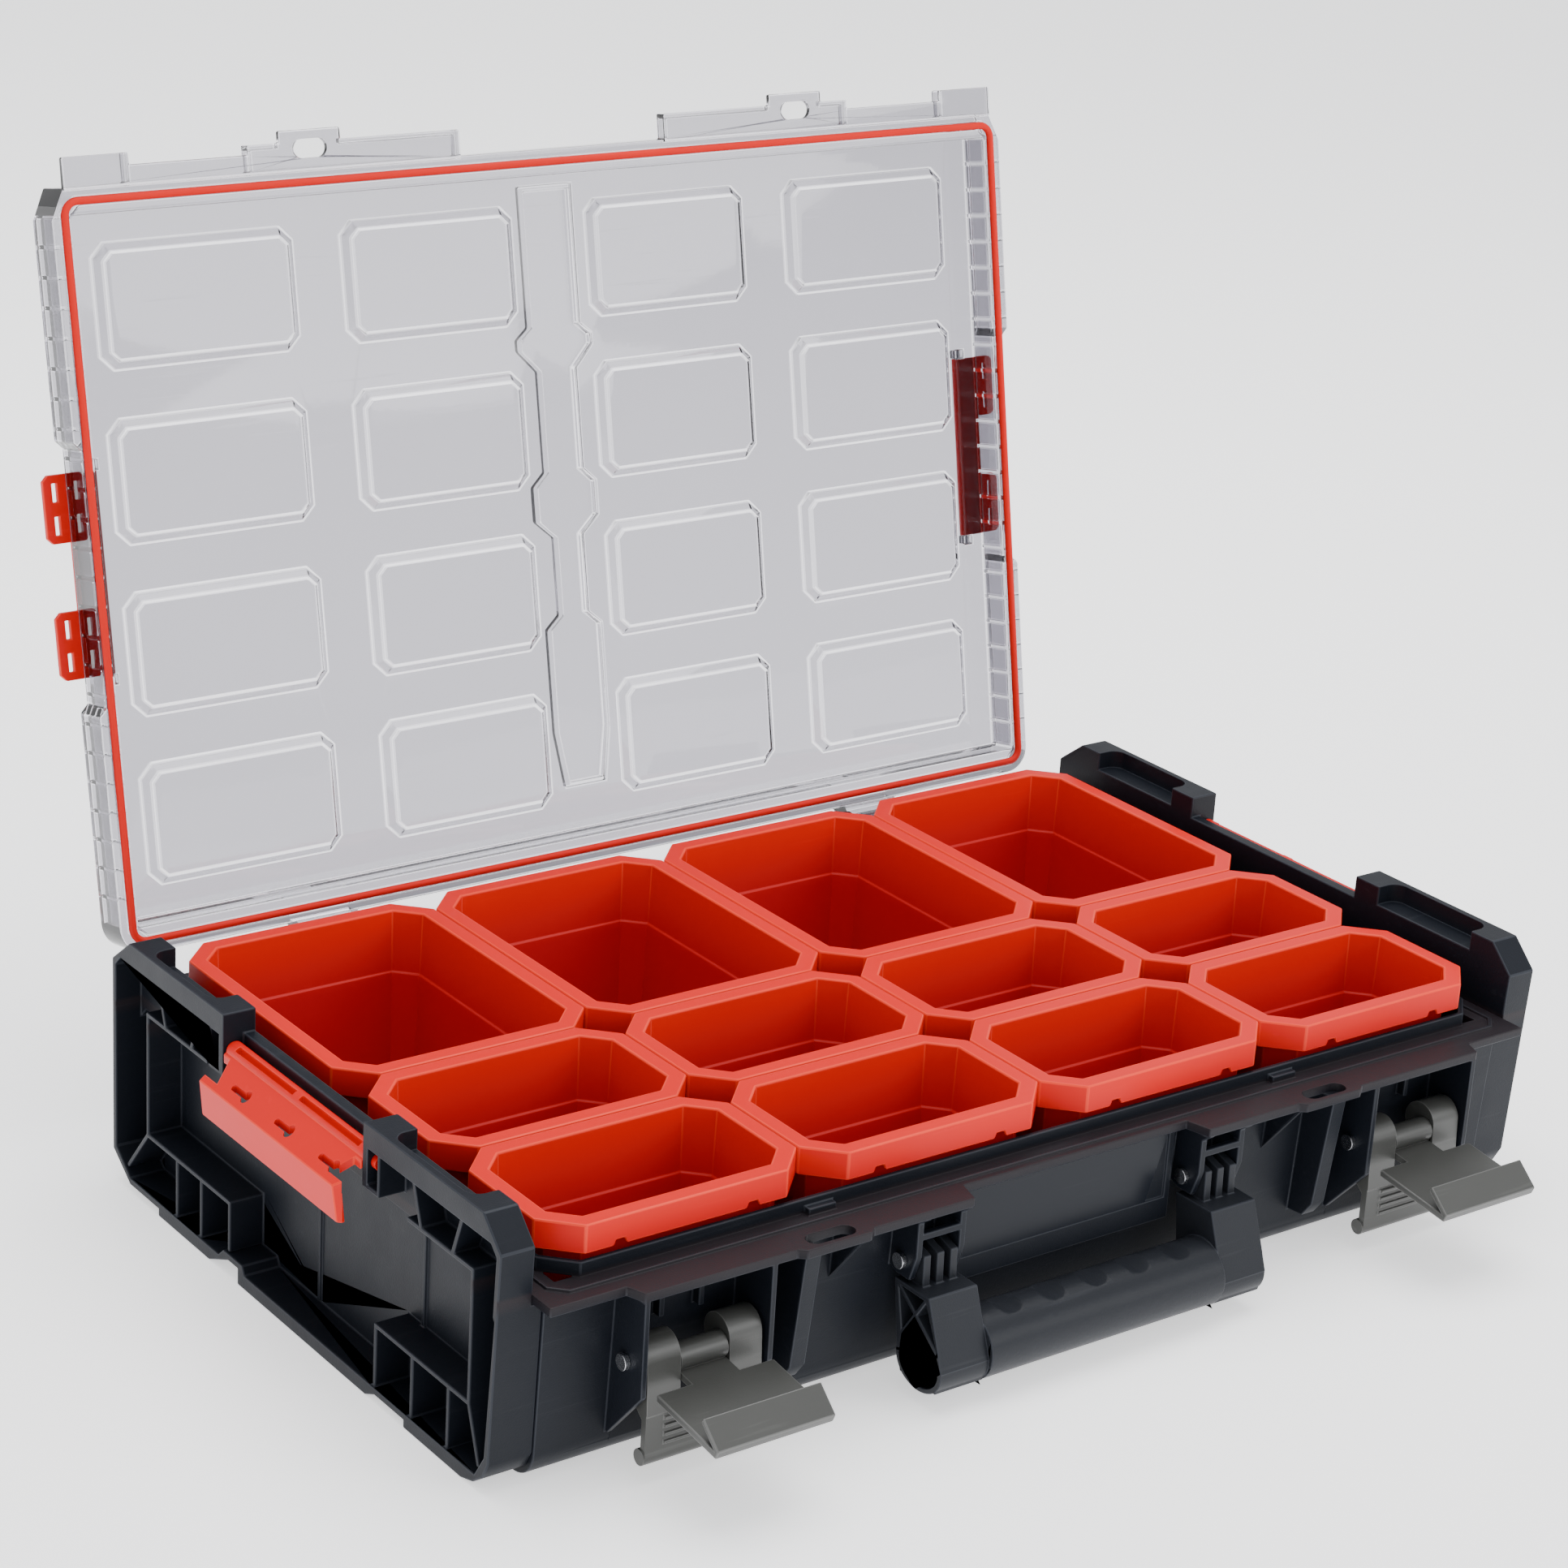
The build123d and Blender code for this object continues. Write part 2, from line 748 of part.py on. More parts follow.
# Lid
def lid_plan():
    """Plan of the lid: bevelled front corners, rounded rear ones, waisted where the clips sit."""
    waist = lid_half_length - lid_clip_step
    half = [
        (lid_half_length - lid_corner_x, -lid_half_depth),
        (lid_half_length, -lid_half_depth + lid_corner_y),
        (lid_half_length, -lid_clip_half - lid_clip_step),
        (waist, -lid_clip_half),
        (waist, lid_clip_half),
        (lid_half_length, lid_clip_half + lid_clip_step),
        (lid_half_length, lid_half_depth),
    ]
    outline(half + [(-x, y) for x, y in reversed(half)])
    fillet(vertices().group_by(Axis.Y)[-1], lid_rear_corner)


def ridge_plan(shrink):
    """Plan of the bone-shaped ridge along the middle of the lid."""
    half = [
        (14 - shrink, -145 + shrink),
        (14 - shrink, -82),
        (20 - shrink, -77),
        (20 - shrink, -72),
        (10.5 - shrink, -62),
        (10.5 - shrink, -16),
        (17 - shrink, -10),
        (17 - shrink, 6),
        (8 - shrink, 14),
        (8 - shrink, 50),
        (15 - shrink, 56),
        (15 - shrink, 104),
        (11 - shrink, 130 - shrink),
    ]
    outline(half + [(-x, y) for x, y in reversed(half)])


def lid_pads(z, mode):
    """Sixteen shallow pads, one over each cell of the grid."""
    slope_run = lid_pad_depth * tan(radians(lid_pad_slope))
    corner = lid_pad_corner - slope_run * (2 - 2 ** 0.5)
    half_depth = lid_pad_half_depth - slope_run
    for low, high in (lid_pad_outer, lid_pad_inner):
        for side in (-1, 1):
            for row in range(row_count):
                middle_y = (row - (row_count - 1) / 2) * row_pitch
                with BuildSketch(lid_plane(z)) as plan:
                    cut_corner_box(
                        (high - low) / 2 - slope_run, half_depth, corner,
                        side * (low + high) / 2, middle_y,
                    )
                extrude(plan.sketch, amount=lid_pad_depth, taper=-lid_pad_slope, mode=mode)


def lid_cells():
    """Ladder cells in the side walls, open to the top."""
    cell_floor = lid_bottom + lid_cell_floor
    count = int((2 * (lid_half_depth - lid_wall_end)) // lid_cell_pitch)
    inner = lid_half_length - lid_wall_side + 1.8
    outer = lid_half_length - lid_clip_step - 1.6
    with BuildSketch(lid_plane(cell_floor)) as plan:
        for side in (-1, 1):
            with Locations((side * (inner + outer) / 2, 0)):
                with GridLocations(1, lid_cell_pitch, 1, count):
                    Rectangle(outer - inner, lid_cell_pitch - lid_cell_wall)
    extrude(plan.sketch, amount=lid_top - cell_floor, mode=Mode.SUBTRACT)


def lid_front_edge():
    """Low catch flanges, corner tabs, padlock eyes and hooked profiles along the front edge."""
    back = 1 - lid_half_depth
    tab_end = lid_half_length - lid_corner_x
    with BuildSketch(lid_plane(lid_flange_foot)) as plan:
        for side in (-1, 1):
            span(side * lid_catch_inner, side * lid_catch_outer, -lid_flange_reach, back)
            span(side * lid_catch_outer, side * tab_end, -lid_tab_reach, back)
            span(side * lid_hook_start, side * lid_catch_inner, -lid_hook_reach, back)
            span(
                side * (padlock_centre - lid_eye_half), side * (padlock_centre + lid_eye_half),
                -lid_eye_reach, back,
            )
        for side in (-1, 1):
            with Locations((side * padlock_centre, padlock_slot_y - 3)):
                SlotOverall(lid_eye_slot, padlock_slot_width, mode=Mode.SUBTRACT)
    extrude(plan.sketch, amount=lid_flange)
    with BuildSketch(lid_plane(lid_flange_foot)) as walls:
        for side in (-1, 1):
            for x1, x2 in (
                (lid_hook_start, padlock_centre - lid_eye_half),
                (padlock_centre + lid_eye_half, lid_catch_inner),
            ):
                span(side * x1, side * x2, -lid_hook_reach, lid_hook_wall - lid_hook_reach)
            for x in (lid_hook_start, lid_catch_inner - lid_hook_wall):
                span(side * x, side * (x + lid_hook_wall), -lid_hook_reach, back)
            span(side * lid_catch_outer, side * (lid_catch_outer + lid_hook_wall), -lid_tab_reach, back)
    extrude(walls.sketch, amount=lid_hook_top - lid_flange_foot)


def make_lid():
    """The clear lid."""
    with BuildPart() as lid:
        with BuildSketch(lid_plane(lid_bottom)):
            lid_plan()
        extrude(amount=lid_top - lid_bottom)
        with BuildSketch(lid_plane(lid_bottom)):
            Rectangle(2 * (lid_half_length - lid_wall_side), 2 * (lid_half_depth - lid_wall_end))
        extrude(amount=lid_inner_top - lid_bottom, mode=Mode.SUBTRACT)
        lid_pads(lid_inner_top - lid_pad_depth, Mode.ADD)
        lid_pads(lid_top - lid_pad_depth, Mode.SUBTRACT)
        with BuildSketch(lid_plane(lid_top)):
            ridge_plan(0)
        extrude(amount=lid_ridge_height)
        with BuildSketch(lid_plane(lid_inner_top)):
            ridge_plan(lid_skin)
        extrude(amount=lid_ridge_height, mode=Mode.SUBTRACT)
        lid_cells()
        lid_front_edge()
        with BuildSketch(lid_plane(lid_bottom)):
            seal_loop(seal_half_length, seal_half_depth, seal_corner, 2 * gasket_radius + 0.2)
        extrude(amount=2 * gasket_radius - gasket_stand, mode=Mode.SUBTRACT)
        for side in (-1, 1):
            middle = side * hinge_centre
            plane = lid_section(middle - hinge_knuckle / 2)
            arm = [
                (lid_half_depth - 1, lid_bottom + 0.5),
                (lid_hinge_y, lid_hinge_z),
                (lid_hinge_y + hinge_radius * 0.7, lid_hinge_z + hinge_radius * 0.7),
                (lid_half_depth - 1, lid_bottom + 14),
            ]
            plate(plane, arm, hinge_knuckle)
            rod(plane, lid_hinge_y, lid_hinge_z, hinge_radius, hinge_knuckle)
            rod(
                plane, lid_hinge_y, lid_hinge_z, hinge_pin_radius + pin_play, hinge_knuckle,
                Mode.SUBTRACT,
            )
        clip_x = lid_half_length - clip_pivot_inset
        clip_z = lid_top + clip_barrel_radius + seat_gap
        for side in (-1, 1):
            for end in (-1, 1):
                near = end * (clip_half_length + seat_gap)
                far = end * (clip_half_length + seat_gap + clip_lug)
                with BuildSketch(lid_plane(lid_top)):
                    span(
                        side * clip_x - clip_barrel_radius, side * clip_x + clip_barrel_radius,
                        near, far,
                    )
                extrude(amount=2 * clip_barrel_radius + seat_gap)
            rod(
                lid_lengthwise(clip_half_length + 2 * clip_lug), side * clip_x, clip_z,
                clip_pin_radius + pin_play, 2 * (clip_half_length + 2 * clip_lug), Mode.SUBTRACT,
            )
    return lid


def make_gasket():
    """The round cord seal in the lid's rim."""
    level = lid_bottom - gasket_stand + gasket_radius
    with BuildPart() as gasket:
        with BuildLine(lid_plane(level)) as loop:
            x = seal_half_length
            y = seal_half_depth
            c = seal_corner
            FilletPolyline(
                (x - c, -y), (x, -y + c), (x, y - c), (x - c, y),
                (c - x, y), (-x, y - c), (-x, c - y), (c - x, -y),
                close=True, radius=gasket_bend,
            )
        with BuildSketch(Plane(origin=loop.line @ 0, z_dir=loop.line % 0)):
            Circle(gasket_radius)
        sweep(path=loop.line)
    return gasket


def make_lid_clip(side):
    """One clip on the lid: a barrel, a strip and two slotted tabs."""
    pivot_x = lid_half_length - clip_pivot_inset
    pivot_z = lid_top + clip_barrel_radius + seat_gap
    base = lid_top + seat_gap + 0.1
    tip = lid_half_length + clip_reach
    with BuildPart() as clip:
        with BuildSketch(lid_plane(base)):
            span(side * pivot_x, side * (pivot_x + 12), -clip_half_length, clip_half_length)
            for end in (-1, 1):
                span(side * (pivot_x + 8), side * tip, end * clip_inner, end * clip_half_length)
        extrude(amount=clip_plate)
        chamfer(
            edges().filter_by(Axis((0, 0, 0), lid_normal)).group_by(Axis.X)[-1 if side > 0 else 0],
            2.5,
        )
        rod(
            lid_lengthwise(clip_half_length), side * pivot_x, pivot_z, clip_barrel_radius,
            2 * clip_half_length,
        )
        with BuildSketch(lid_plane(base)):
            for end in (-1, 1):
                for slot in (-1, 1):
                    middle = end * (clip_inner + clip_half_length) / 2 + slot * 7
                    with Locations((side * (lid_half_length + 1.5), middle)):
                        Rectangle(2.3, 8)
        extrude(amount=clip_plate, mode=Mode.SUBTRACT)
        rod(
            lid_lengthwise(clip_half_length), side * pivot_x, pivot_z, clip_pin_radius + pin_play,
            2 * clip_half_length, Mode.SUBTRACT,
        )
    return clip


def make_lid_clip_pins():
    """The two thin pins that carry the lid clips."""
    reach = clip_half_length + seat_gap + clip_lug
    with BuildPart() as pins:
        for side in (-1, 1):
            rod(
                lid_lengthwise(reach), side * (lid_half_length - clip_pivot_inset),
                lid_top + clip_barrel_radius + seat_gap, clip_pin_radius, 2 * reach,
            )
    return pins


def make_lid_hinge_pins():
    """The two rear hinge pins."""
    reach = hinge_knuckle / 2 + seat_gap + hinge_ear
    with BuildPart() as pins:
        for side in (-1, 1):
            rod(
                Plane.YZ.offset(side * hinge_centre - reach), lid_hinge_y, lid_hinge_z,
                hinge_pin_radius, 2 * reach,
            )
    return pins


# Toggle latches
def make_latch_lever(side):
    """One lever: two ears on the steel pins, a ridged plate and a round bar at its end."""
    middle = side * latch_centre
    left = middle - lever_half_width
    right = middle + lever_half_width
    ear_foot = latch_pin_z - lever_ear_radius * 2.4
    ear = [
        (latch_pin_y + lever_ear_radius, latch_pin_z),
        (latch_pin_y - lever_ear_radius, latch_pin_z),
        (lever_bar_y - lever_bar_radius, ear_foot),
        (lever_bar_y - lever_bar_radius + lever_plate, ear_foot - 3),
        (latch_pin_y + 2, ear_foot + 4),
    ]
    web = [
        (lever_bar_y - lever_bar_radius + 0.6, ear_foot + 6),
        (lever_bar_y - lever_bar_radius, lever_bar_z),
        (lever_bar_y, lever_bar_z),
        (lever_bar_y - lever_bar_radius + lever_plate + 0.6, ear_foot + 6),
    ]
    with BuildPart() as lever:
        for start in (left, right - lever_ear_width):
            plate(Plane.YZ.offset(start), ear, lever_ear_width)
            rod(Plane.YZ.offset(start), latch_pin_y, latch_pin_z, lever_ear_radius, lever_ear_width)
        plate(Plane.YZ.offset(left), web, 2 * lever_half_width)
        rod(Plane.YZ.offset(left - 0.6), lever_bar_y, lever_bar_z, lever_bar_radius, 2 * lever_half_width + 1.2)
        for ridge in range(4):
            height = lever_bar_z + 5 + ridge * 3.4
            block(
                left + 8, right - 8, lever_bar_y - lever_bar_radius - 0.8,
                lever_bar_y - lever_bar_radius + 1, height, height + 1.4,
            )
        rod(
            Plane.YZ.offset(left), latch_pin_y, latch_pin_z, latch_pin_radius + pin_play,
            latch_pin_grip, Mode.SUBTRACT,
        )
        rod(
            Plane.YZ.offset(right - latch_pin_grip), latch_pin_y, latch_pin_z,
            latch_pin_radius + pin_play, latch_pin_grip, Mode.SUBTRACT,
        )
        gap = lever_half_width - lever_ear_width
        rod(
            Plane.YZ.offset(middle - gap - hook_trunnion_length - seat_gap), hook_pivot_y, hook_pivot_z,
            hook_trunnion_radius + pin_play, 2 * (gap + hook_trunnion_length + seat_gap), Mode.SUBTRACT,
        )
    return lever


def make_hook_plate(side):
    """One hooked plate: a barrel on trunnions, a T-shaped plate and a turned-up lip."""
    middle = side * latch_centre
    gap = lever_half_width - lever_ear_width - seat_gap
    slope = tan(radians(hook_slope))

    def top_z(y):
        return hook_pivot_z - hook_drop + (y - hook_pivot_y) * slope

    near = hook_pivot_y
    neck = hook_pivot_y - hook_neck
    tip = hook_pivot_y - hook_reach
    lip_y = tip + hook_lip * 0.83
    lip_z = top_z(tip) + hook_lip * 0.62
    with BuildPart() as hook:
        rod(Plane.YZ.offset(middle - gap), hook_pivot_y, hook_pivot_z, hook_barrel_radius, 2 * gap)
        rod(
            Plane.YZ.offset(middle - gap - hook_trunnion_length), hook_pivot_y, hook_pivot_z,
            hook_trunnion_radius, 2 * (gap + hook_trunnion_length),
        )
        plate(Plane.YZ.offset(middle - gap), [
            (near, top_z(near)), (neck - 1, top_z(neck - 1)),
            (neck - 1, top_z(neck - 1) - hook_plate), (near, top_z(near) - hook_plate),
        ], 2 * gap)
        plate(Plane.YZ.offset(middle - hook_half_width), [
            (neck, top_z(neck)), (tip + 2, top_z(tip + 2)), (lip_y, lip_z),
            (lip_y - 1.2, lip_z + 2), (tip - 1.5, top_z(tip) + 0.5), (tip, top_z(tip) - hook_plate),
            (neck, top_z(neck) - hook_plate),
        ], 2 * hook_half_width)
    return hook


def make_latch_pins():
    """Four short steel pins with domed heads, two for each latch."""
    with BuildPart() as pins:
        for side in (-1, 1):
            middle = side * latch_centre
            shank = lever_half_width - latch_pin_grip + 0.2
            outer = recess_half_width + recess_wall
            for end in (-1, 1):
                near = middle + end * shank
                far = middle + end * outer
                rod(
                    Plane.YZ.offset(min(near, far)), latch_pin_y, latch_pin_z, latch_pin_radius,
                    outer - shank,
                )
                head = far if end > 0 else far - 2.4
                with BuildSketch(Plane.YZ.offset(head)):
                    with Locations((latch_pin_y, latch_pin_z)):
                        Circle(latch_pin_radius * 1.7)
                extrude(amount=2.4)
    return pins


# Handle
def make_handle():
    """The carrying handle: two knuckled arms, a hollow oval bar and a fuller grip."""
    arm_front_top = (-176.5, handle_arm_top)
    ear_clear = bracket_ear + handle_play
    finger_room = bracket_width - 2 * ear_clear
    pitch = (finger_room - handle_finger_width) / (handle_finger_count - 1)
    with BuildPart() as handle:
        arm = [
            (-155, handle_arm_top), arm_front_top,
            (handle_tube_y - handle_tube_half_depth, handle_tube_z + 2),
            (handle_tube_y - handle_tube_half_depth + 3, handle_tube_z - 8),
            (handle_tube_y + handle_tube_half_depth - 3, handle_tube_z - 8),
            (handle_tube_y + handle_tube_half_depth, handle_tube_z + 2),
        ]
        pocket = [
            (-157.5, handle_arm_top - handle_tube_wall),
            (-174.2, handle_arm_top - handle_tube_wall),
            (handle_tube_y - handle_tube_half_depth + 3.4, handle_tube_z + 9),
            (handle_tube_y + handle_tube_half_depth - 2.6, handle_tube_z + 9),
        ]
        grip_half_height = handle_tube_half_height + handle_grip_rise / 2
        grip_top = handle_tube_z + handle_grip_rise / 2 + grip_half_height
        for side in (-1, 1):
            low = side * bracket_centre - bracket_width / 2
            plate(Plane.YZ.offset(low), arm, bracket_width)
            start = bracket_outer - handle_pocket if side > 0 else -bracket_outer
            plate(Plane.YZ.offset(start), pocket, handle_pocket, Mode.SUBTRACT)
            with BuildSketch(Plane.YZ.offset(start)):
                for corners in ((0, 2), (1, 3)):
                    with BuildLine(mode=Mode.PRIVATE) as line:
                        Polyline(*[pocket[corner] for corner in corners])
                    trace(line.line, line_width=handle_rib)
            extrude(amount=handle_pocket)
            for finger in range(handle_finger_count):
                plane = Plane.YZ.offset(low + ear_clear + finger * pitch)
                plate(plane, [
                    (handle_pin_y, handle_arm_top - 1),
                    (handle_pin_y + handle_knuckle_radius, handle_pin_z),
                    (handle_pin_y - 2, handle_pin_z + handle_knuckle_radius - 0.4),
                    (handle_pin_y - 9, handle_pin_z + 4),
                    (handle_pin_y - 9.5, handle_arm_top - 1),
                ], handle_finger_width)
                rod(plane, handle_pin_y, handle_pin_z, handle_knuckle_radius, handle_finger_width)
            rod(
                Plane.YZ.offset(low), handle_pin_y, handle_pin_z, handle_pin_radius + pin_play,
                bracket_width, Mode.SUBTRACT,
            )
        bar_plane = Plane.YZ.offset(-bracket_outer)
        with BuildSketch(bar_plane):
            with Locations((handle_tube_y, handle_tube_z)):
                Ellipse(handle_tube_half_depth, handle_tube_half_height)
        extrude(amount=2 * bracket_outer)
        with BuildSketch(Plane.YZ.offset(-bracket_inner)):
            with Locations((handle_tube_y - 1, handle_tube_z + handle_grip_rise / 2)):
                Ellipse(handle_tube_half_depth + 1, grip_half_height)
        extrude(amount=2 * bracket_inner)
        with BuildSketch(Plane.XZ.offset(-handle_tube_y - 2 * handle_tube_half_depth)):
            with Locations((0, grip_top + scallop_radius - scallop_depth)):
                with GridLocations(scallop_pitch, 1, scallop_count, 1):
                    Circle(scallop_radius)
        extrude(amount=4 * handle_tube_half_depth, mode=Mode.SUBTRACT)
        with BuildSketch(bar_plane):
            with Locations((handle_tube_y, handle_tube_z)):
                Ellipse(
                    handle_tube_half_depth - handle_tube_wall,
                    handle_tube_half_height - handle_tube_wall,
                )
        extrude(amount=2 * bracket_outer, mode=Mode.SUBTRACT)
    return handle


def make_handle_pins():
    """The two steel pins of the handle, each with a head on its left."""
    with BuildPart() as pins:
        for side in (-1, 1):
            low = side * bracket_centre - bracket_width / 2
            rod(Plane.YZ.offset(low), handle_pin_y, handle_pin_z, handle_pin_radius, bracket_width)
            rod(Plane.YZ.offset(low - 2.4), handle_pin_y, handle_pin_z, handle_pin_radius * 1.7, 2.4)
    return pins


# Side latches
def make_side_latch():
    """The right side latch: a slotted barrel, a sloping face with keyholes and a hanging band."""
    pivot_x = frame_outer - side_pivot_inset
    half = post_inner - side_latch_gap
    edge_x = frame_outer + side_edge_reach
    root_x = pivot_x + side_barrel_radius
    fall = (side_pivot_z - side_edge_z) / (edge_x - root_x)
    drop = side_plate * (1 + fall ** 2) ** 0.5
    inner_x = edge_x - side_plate
    level = side_edge_z - side_plate * 1.5
    with BuildPart() as latch:
        start = Plane.XZ.offset(-half)
        rod(start, pivot_x, side_pivot_z, side_barrel_radius, 2 * half)
        plate(start, [
            (root_x, side_pivot_z),
            (edge_x, side_edge_z),
            (edge_x - side_band_lean, side_band_foot),
            (inner_x - side_band_lean, side_band_foot),
            (inner_x, side_edge_z + side_plate * fall - drop),
            (root_x, side_pivot_z - drop),
            (pivot_x, side_pivot_z - side_barrel_radius),
        ], 2 * half)
        with BuildSketch(Plane.XY.offset(side_pivot_z)):
            with Locations((pivot_x + side_slot_x, -side_slot_y), (pivot_x + side_slot_x, side_slot_y)):
                Rectangle(side_slot_width, side_slot)
        extrude(amount=side_barrel_radius, mode=Mode.SUBTRACT)
        for end in (-1, 1):
            plate(Plane.XY.offset(side_edge_z - side_plate), [
                (root_x + 1.2, end * (half + 1)),
                (root_x + 1.2, end * (half - side_notch / 2)),
                (inner_x, end * (half - side_notch)),
                (inner_x, end * (half + 1)),
            ], side_pivot_z - side_edge_z + side_plate, Mode.SUBTRACT)
        plate(Plane.XY.offset(side_band_foot), [
            (edge_x + 1, -half + side_corner),
            (edge_x + 1, -half - 1),
            (edge_x - side_corner, -half - 1),
        ], side_pivot_z - side_band_foot, Mode.SUBTRACT)
        with BuildSketch(Plane.XY.offset(level)):
            for index in (-1, 0, 1):
                key_y = side_key_y + index * side_key_pitch
                with Locations((pivot_x + side_key_x, key_y)):
                    Circle(side_key_radius)
                with Locations((pivot_x + side_key_x, key_y + side_key_slot / 2 - 1)):
                    SlotOverall(side_key_slot, side_key_width, rotation=90)
        extrude(amount=side_pivot_z - level, mode=Mode.SUBTRACT)
        for bearing in (-half - side_trunnion_length, half - 1):
            rod(
                Plane.XZ.offset(bearing), pivot_x, side_pivot_z, side_trunnion_radius,
                side_trunnion_length + 1,
            )
    return latch


def make_label_plate():
    """The bare plate in the front panel."""
    face = case_front_top + panel_thickness
    with BuildPart() as label:
        plate(Plane.XZ.offset(face - label_thickness), [
            (-panel_half_width + label_edge, label_bottom),
            (panel_half_width - label_edge - 10, label_bottom),
            (panel_half_width - label_edge, flange_bottom),
            (-panel_half_width + label_edge, flange_bottom),
        ], label_thickness)
    return label


# All pieces, each written to its own file
save(make_tub(), "tub")

end_frame = make_end_frame()
save(end_frame, "end_frame_right")
with BuildPart() as end_frame_left:
    mirror(end_frame.part, about=Plane.YZ)
save(end_frame_left, "end_frame_left")

for column in range(column_count):
    bin_x = (column - (column_count - 1) / 2) * column_pitch
    save(make_bin(bin_x, bins_half_depth - row_pitch, 2 * row_pitch), f"bin_large_{column + 1}")
    save(make_bin(bin_x, -row_pitch / 2, row_pitch), f"bin_mid_{column + 1}")
    save(make_bin(bin_x, -bins_half_depth + row_pitch / 2, row_pitch), f"bin_front_{column + 1}")

save(make_lid(), "lid")
save(make_gasket(), "gasket")
save(make_lid_clip(-1), "lid_clip_left")
save(make_lid_clip(1), "lid_clip_right")
save(make_lid_clip_pins(), "lid_clip_pins")
save(make_lid_hinge_pins(), "lid_hinge_pins")
save(make_latch_lever(-1), "latch_lever_left")
save(make_latch_lever(1), "latch_lever_right")
save(make_hook_plate(-1), "hook_plate_left")
save(make_hook_plate(1), "hook_plate_right")
save(make_latch_pins(), "latch_pins")
save(make_handle(), "handle")
save(make_handle_pins(), "handle_pins")

side_latch = make_side_latch()
save(side_latch, "side_latch_right")
with BuildPart() as side_latch_left:
    mirror(side_latch.part, about=Plane.YZ)
save(side_latch_left, "side_latch_left")

save(make_label_plate(), "label_plate")
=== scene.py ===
"""Looks for a stackable parts organizer: a black case with lift-out bins, a clear lid and latches."""

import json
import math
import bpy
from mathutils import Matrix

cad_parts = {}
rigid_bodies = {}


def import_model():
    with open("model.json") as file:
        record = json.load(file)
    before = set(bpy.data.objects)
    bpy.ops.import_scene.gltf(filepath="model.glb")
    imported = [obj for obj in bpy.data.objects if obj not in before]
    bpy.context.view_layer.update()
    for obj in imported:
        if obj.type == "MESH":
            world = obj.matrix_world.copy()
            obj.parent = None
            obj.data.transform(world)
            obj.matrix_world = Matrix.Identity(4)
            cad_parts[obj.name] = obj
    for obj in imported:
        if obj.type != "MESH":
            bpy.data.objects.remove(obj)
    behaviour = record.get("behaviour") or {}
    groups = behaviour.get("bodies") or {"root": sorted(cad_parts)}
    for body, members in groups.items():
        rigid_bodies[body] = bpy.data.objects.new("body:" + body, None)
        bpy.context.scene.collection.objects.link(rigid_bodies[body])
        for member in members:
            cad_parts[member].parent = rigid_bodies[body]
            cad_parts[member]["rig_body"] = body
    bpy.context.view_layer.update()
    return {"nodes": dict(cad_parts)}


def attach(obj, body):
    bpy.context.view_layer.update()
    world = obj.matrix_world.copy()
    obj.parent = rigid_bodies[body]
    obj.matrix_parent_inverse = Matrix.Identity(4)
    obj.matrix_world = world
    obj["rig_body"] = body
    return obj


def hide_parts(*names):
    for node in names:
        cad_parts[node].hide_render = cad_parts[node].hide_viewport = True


bl_info = {
    "name": "Parts Organizer Case",
    "version": (1, 0, 0),
    "blender": (4, 5, 0),
    "location": "View3D > Sidebar > Organizer",
    "description": "Dresses a stackable parts organizer with bins, a clear lid, latches and a handle",
    "category": "Object",
}

import bmesh
import bpy
from bpy.props import FloatProperty, FloatVectorProperty, IntProperty, PointerProperty
from mathutils import Matrix, Vector

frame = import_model()

SIDES = ("left", "right")
BIN_KINDS = ("large", "mid", "front")
BIN_COLUMNS = 4
HEADED_PINS = ("latch_pins", "handle_pins")
THIN_PINS = ("lid_hinge_pins", "lid_clip_pins")

# Cleaning and rounding of the copied CAD nodes: metres, degrees and shares
MERGE_DISTANCE = 0.00002
FLAT_ANGLE = 0.6
SHARP_ANGLE = 35.0
BIN_SHARP_ANGLE = 25.0
ROOM_FOR_ROUNDING = 2.3
NORMAL_WEIGHT = 80

# Details of the bins and the seal cord
BIN_DRAFT = math.tan(math.radians(2.0))
STEP_DROP = 0.0004
NOTCH_SLANT = 0.3
ON_WALL = 0.0001
FACING_THE_WALL = 0.99
SEAL_CORNER_SEGMENTS = 6
SEAL_ROUND_RESOLUTION = 4

# Heights in metres between which a painted colour comes in or fades out: the painted warm reflection on
# the flange and the painted shade low in the bins
FLANGE_REFLECTION_RISE = (0.0765, 0.0815)
FLANGE_REFLECTION_FALL = (0.0840, 0.0825)
# The painted shade low inside the bins fades out between these heights.
BIN_SHADE_FADE = (0.070, 0.098)

# Surface detail: noise scales, relief, and the scuffs' stretch, turn, thresholds and lighter colour
CLOUD_SCALE = 14.0
BLOTCH_SCALE = 70.0
CLOUD_SHADE = (0.02, 0.02, 0.02, 1.0)
GRAIN_RELIEF = 0.0002
SCUFF_STRETCH = (0.25, 3.0, 6.0)
SCUFF_TURN = (0.3, 0.2, 0.4)
SCUFF_FROM, SCUFF_TO = 0.62, 0.74
SCUFF_GAIN, SCUFF_LIFT = 1.8, 0.03
# Painted highlight colour on the lid's rounded edges.
LID_EDGE_HIGHLIGHT = (0.97, 0.96, 0.99, 1.0)
LID_REFRACTION = 1.49

# The studio: lamp places and sizes, and the camera's place and directions
FLOOR_RADIUS = 14.0
FLOOR_CLOUD_SCALE = 1.5
FLOOR_SHADE = 0.985
SKY = (0.97, 0.98, 1.0, 1.0)
LIT_POINT = (0.0, 0.0, 0.1)
OVERHEAD_PLACE, OVERHEAD_SIZE = (0.3, 0.2, 2.4), 2.4
FRONT_PLACE, FRONT_SIZE = (1.5, -2.4, 1.3), 1.6
CAMERA_PLACE = (-0.91740, -1.15389, 0.73766)
CAMERA_RIGHT = (0.80633, -0.58858, 0.05824)
CAMERA_UP = (0.16434, 0.31754, 0.93389)
CAMERA_BACK = (-0.56817, -0.74346, 0.35277)


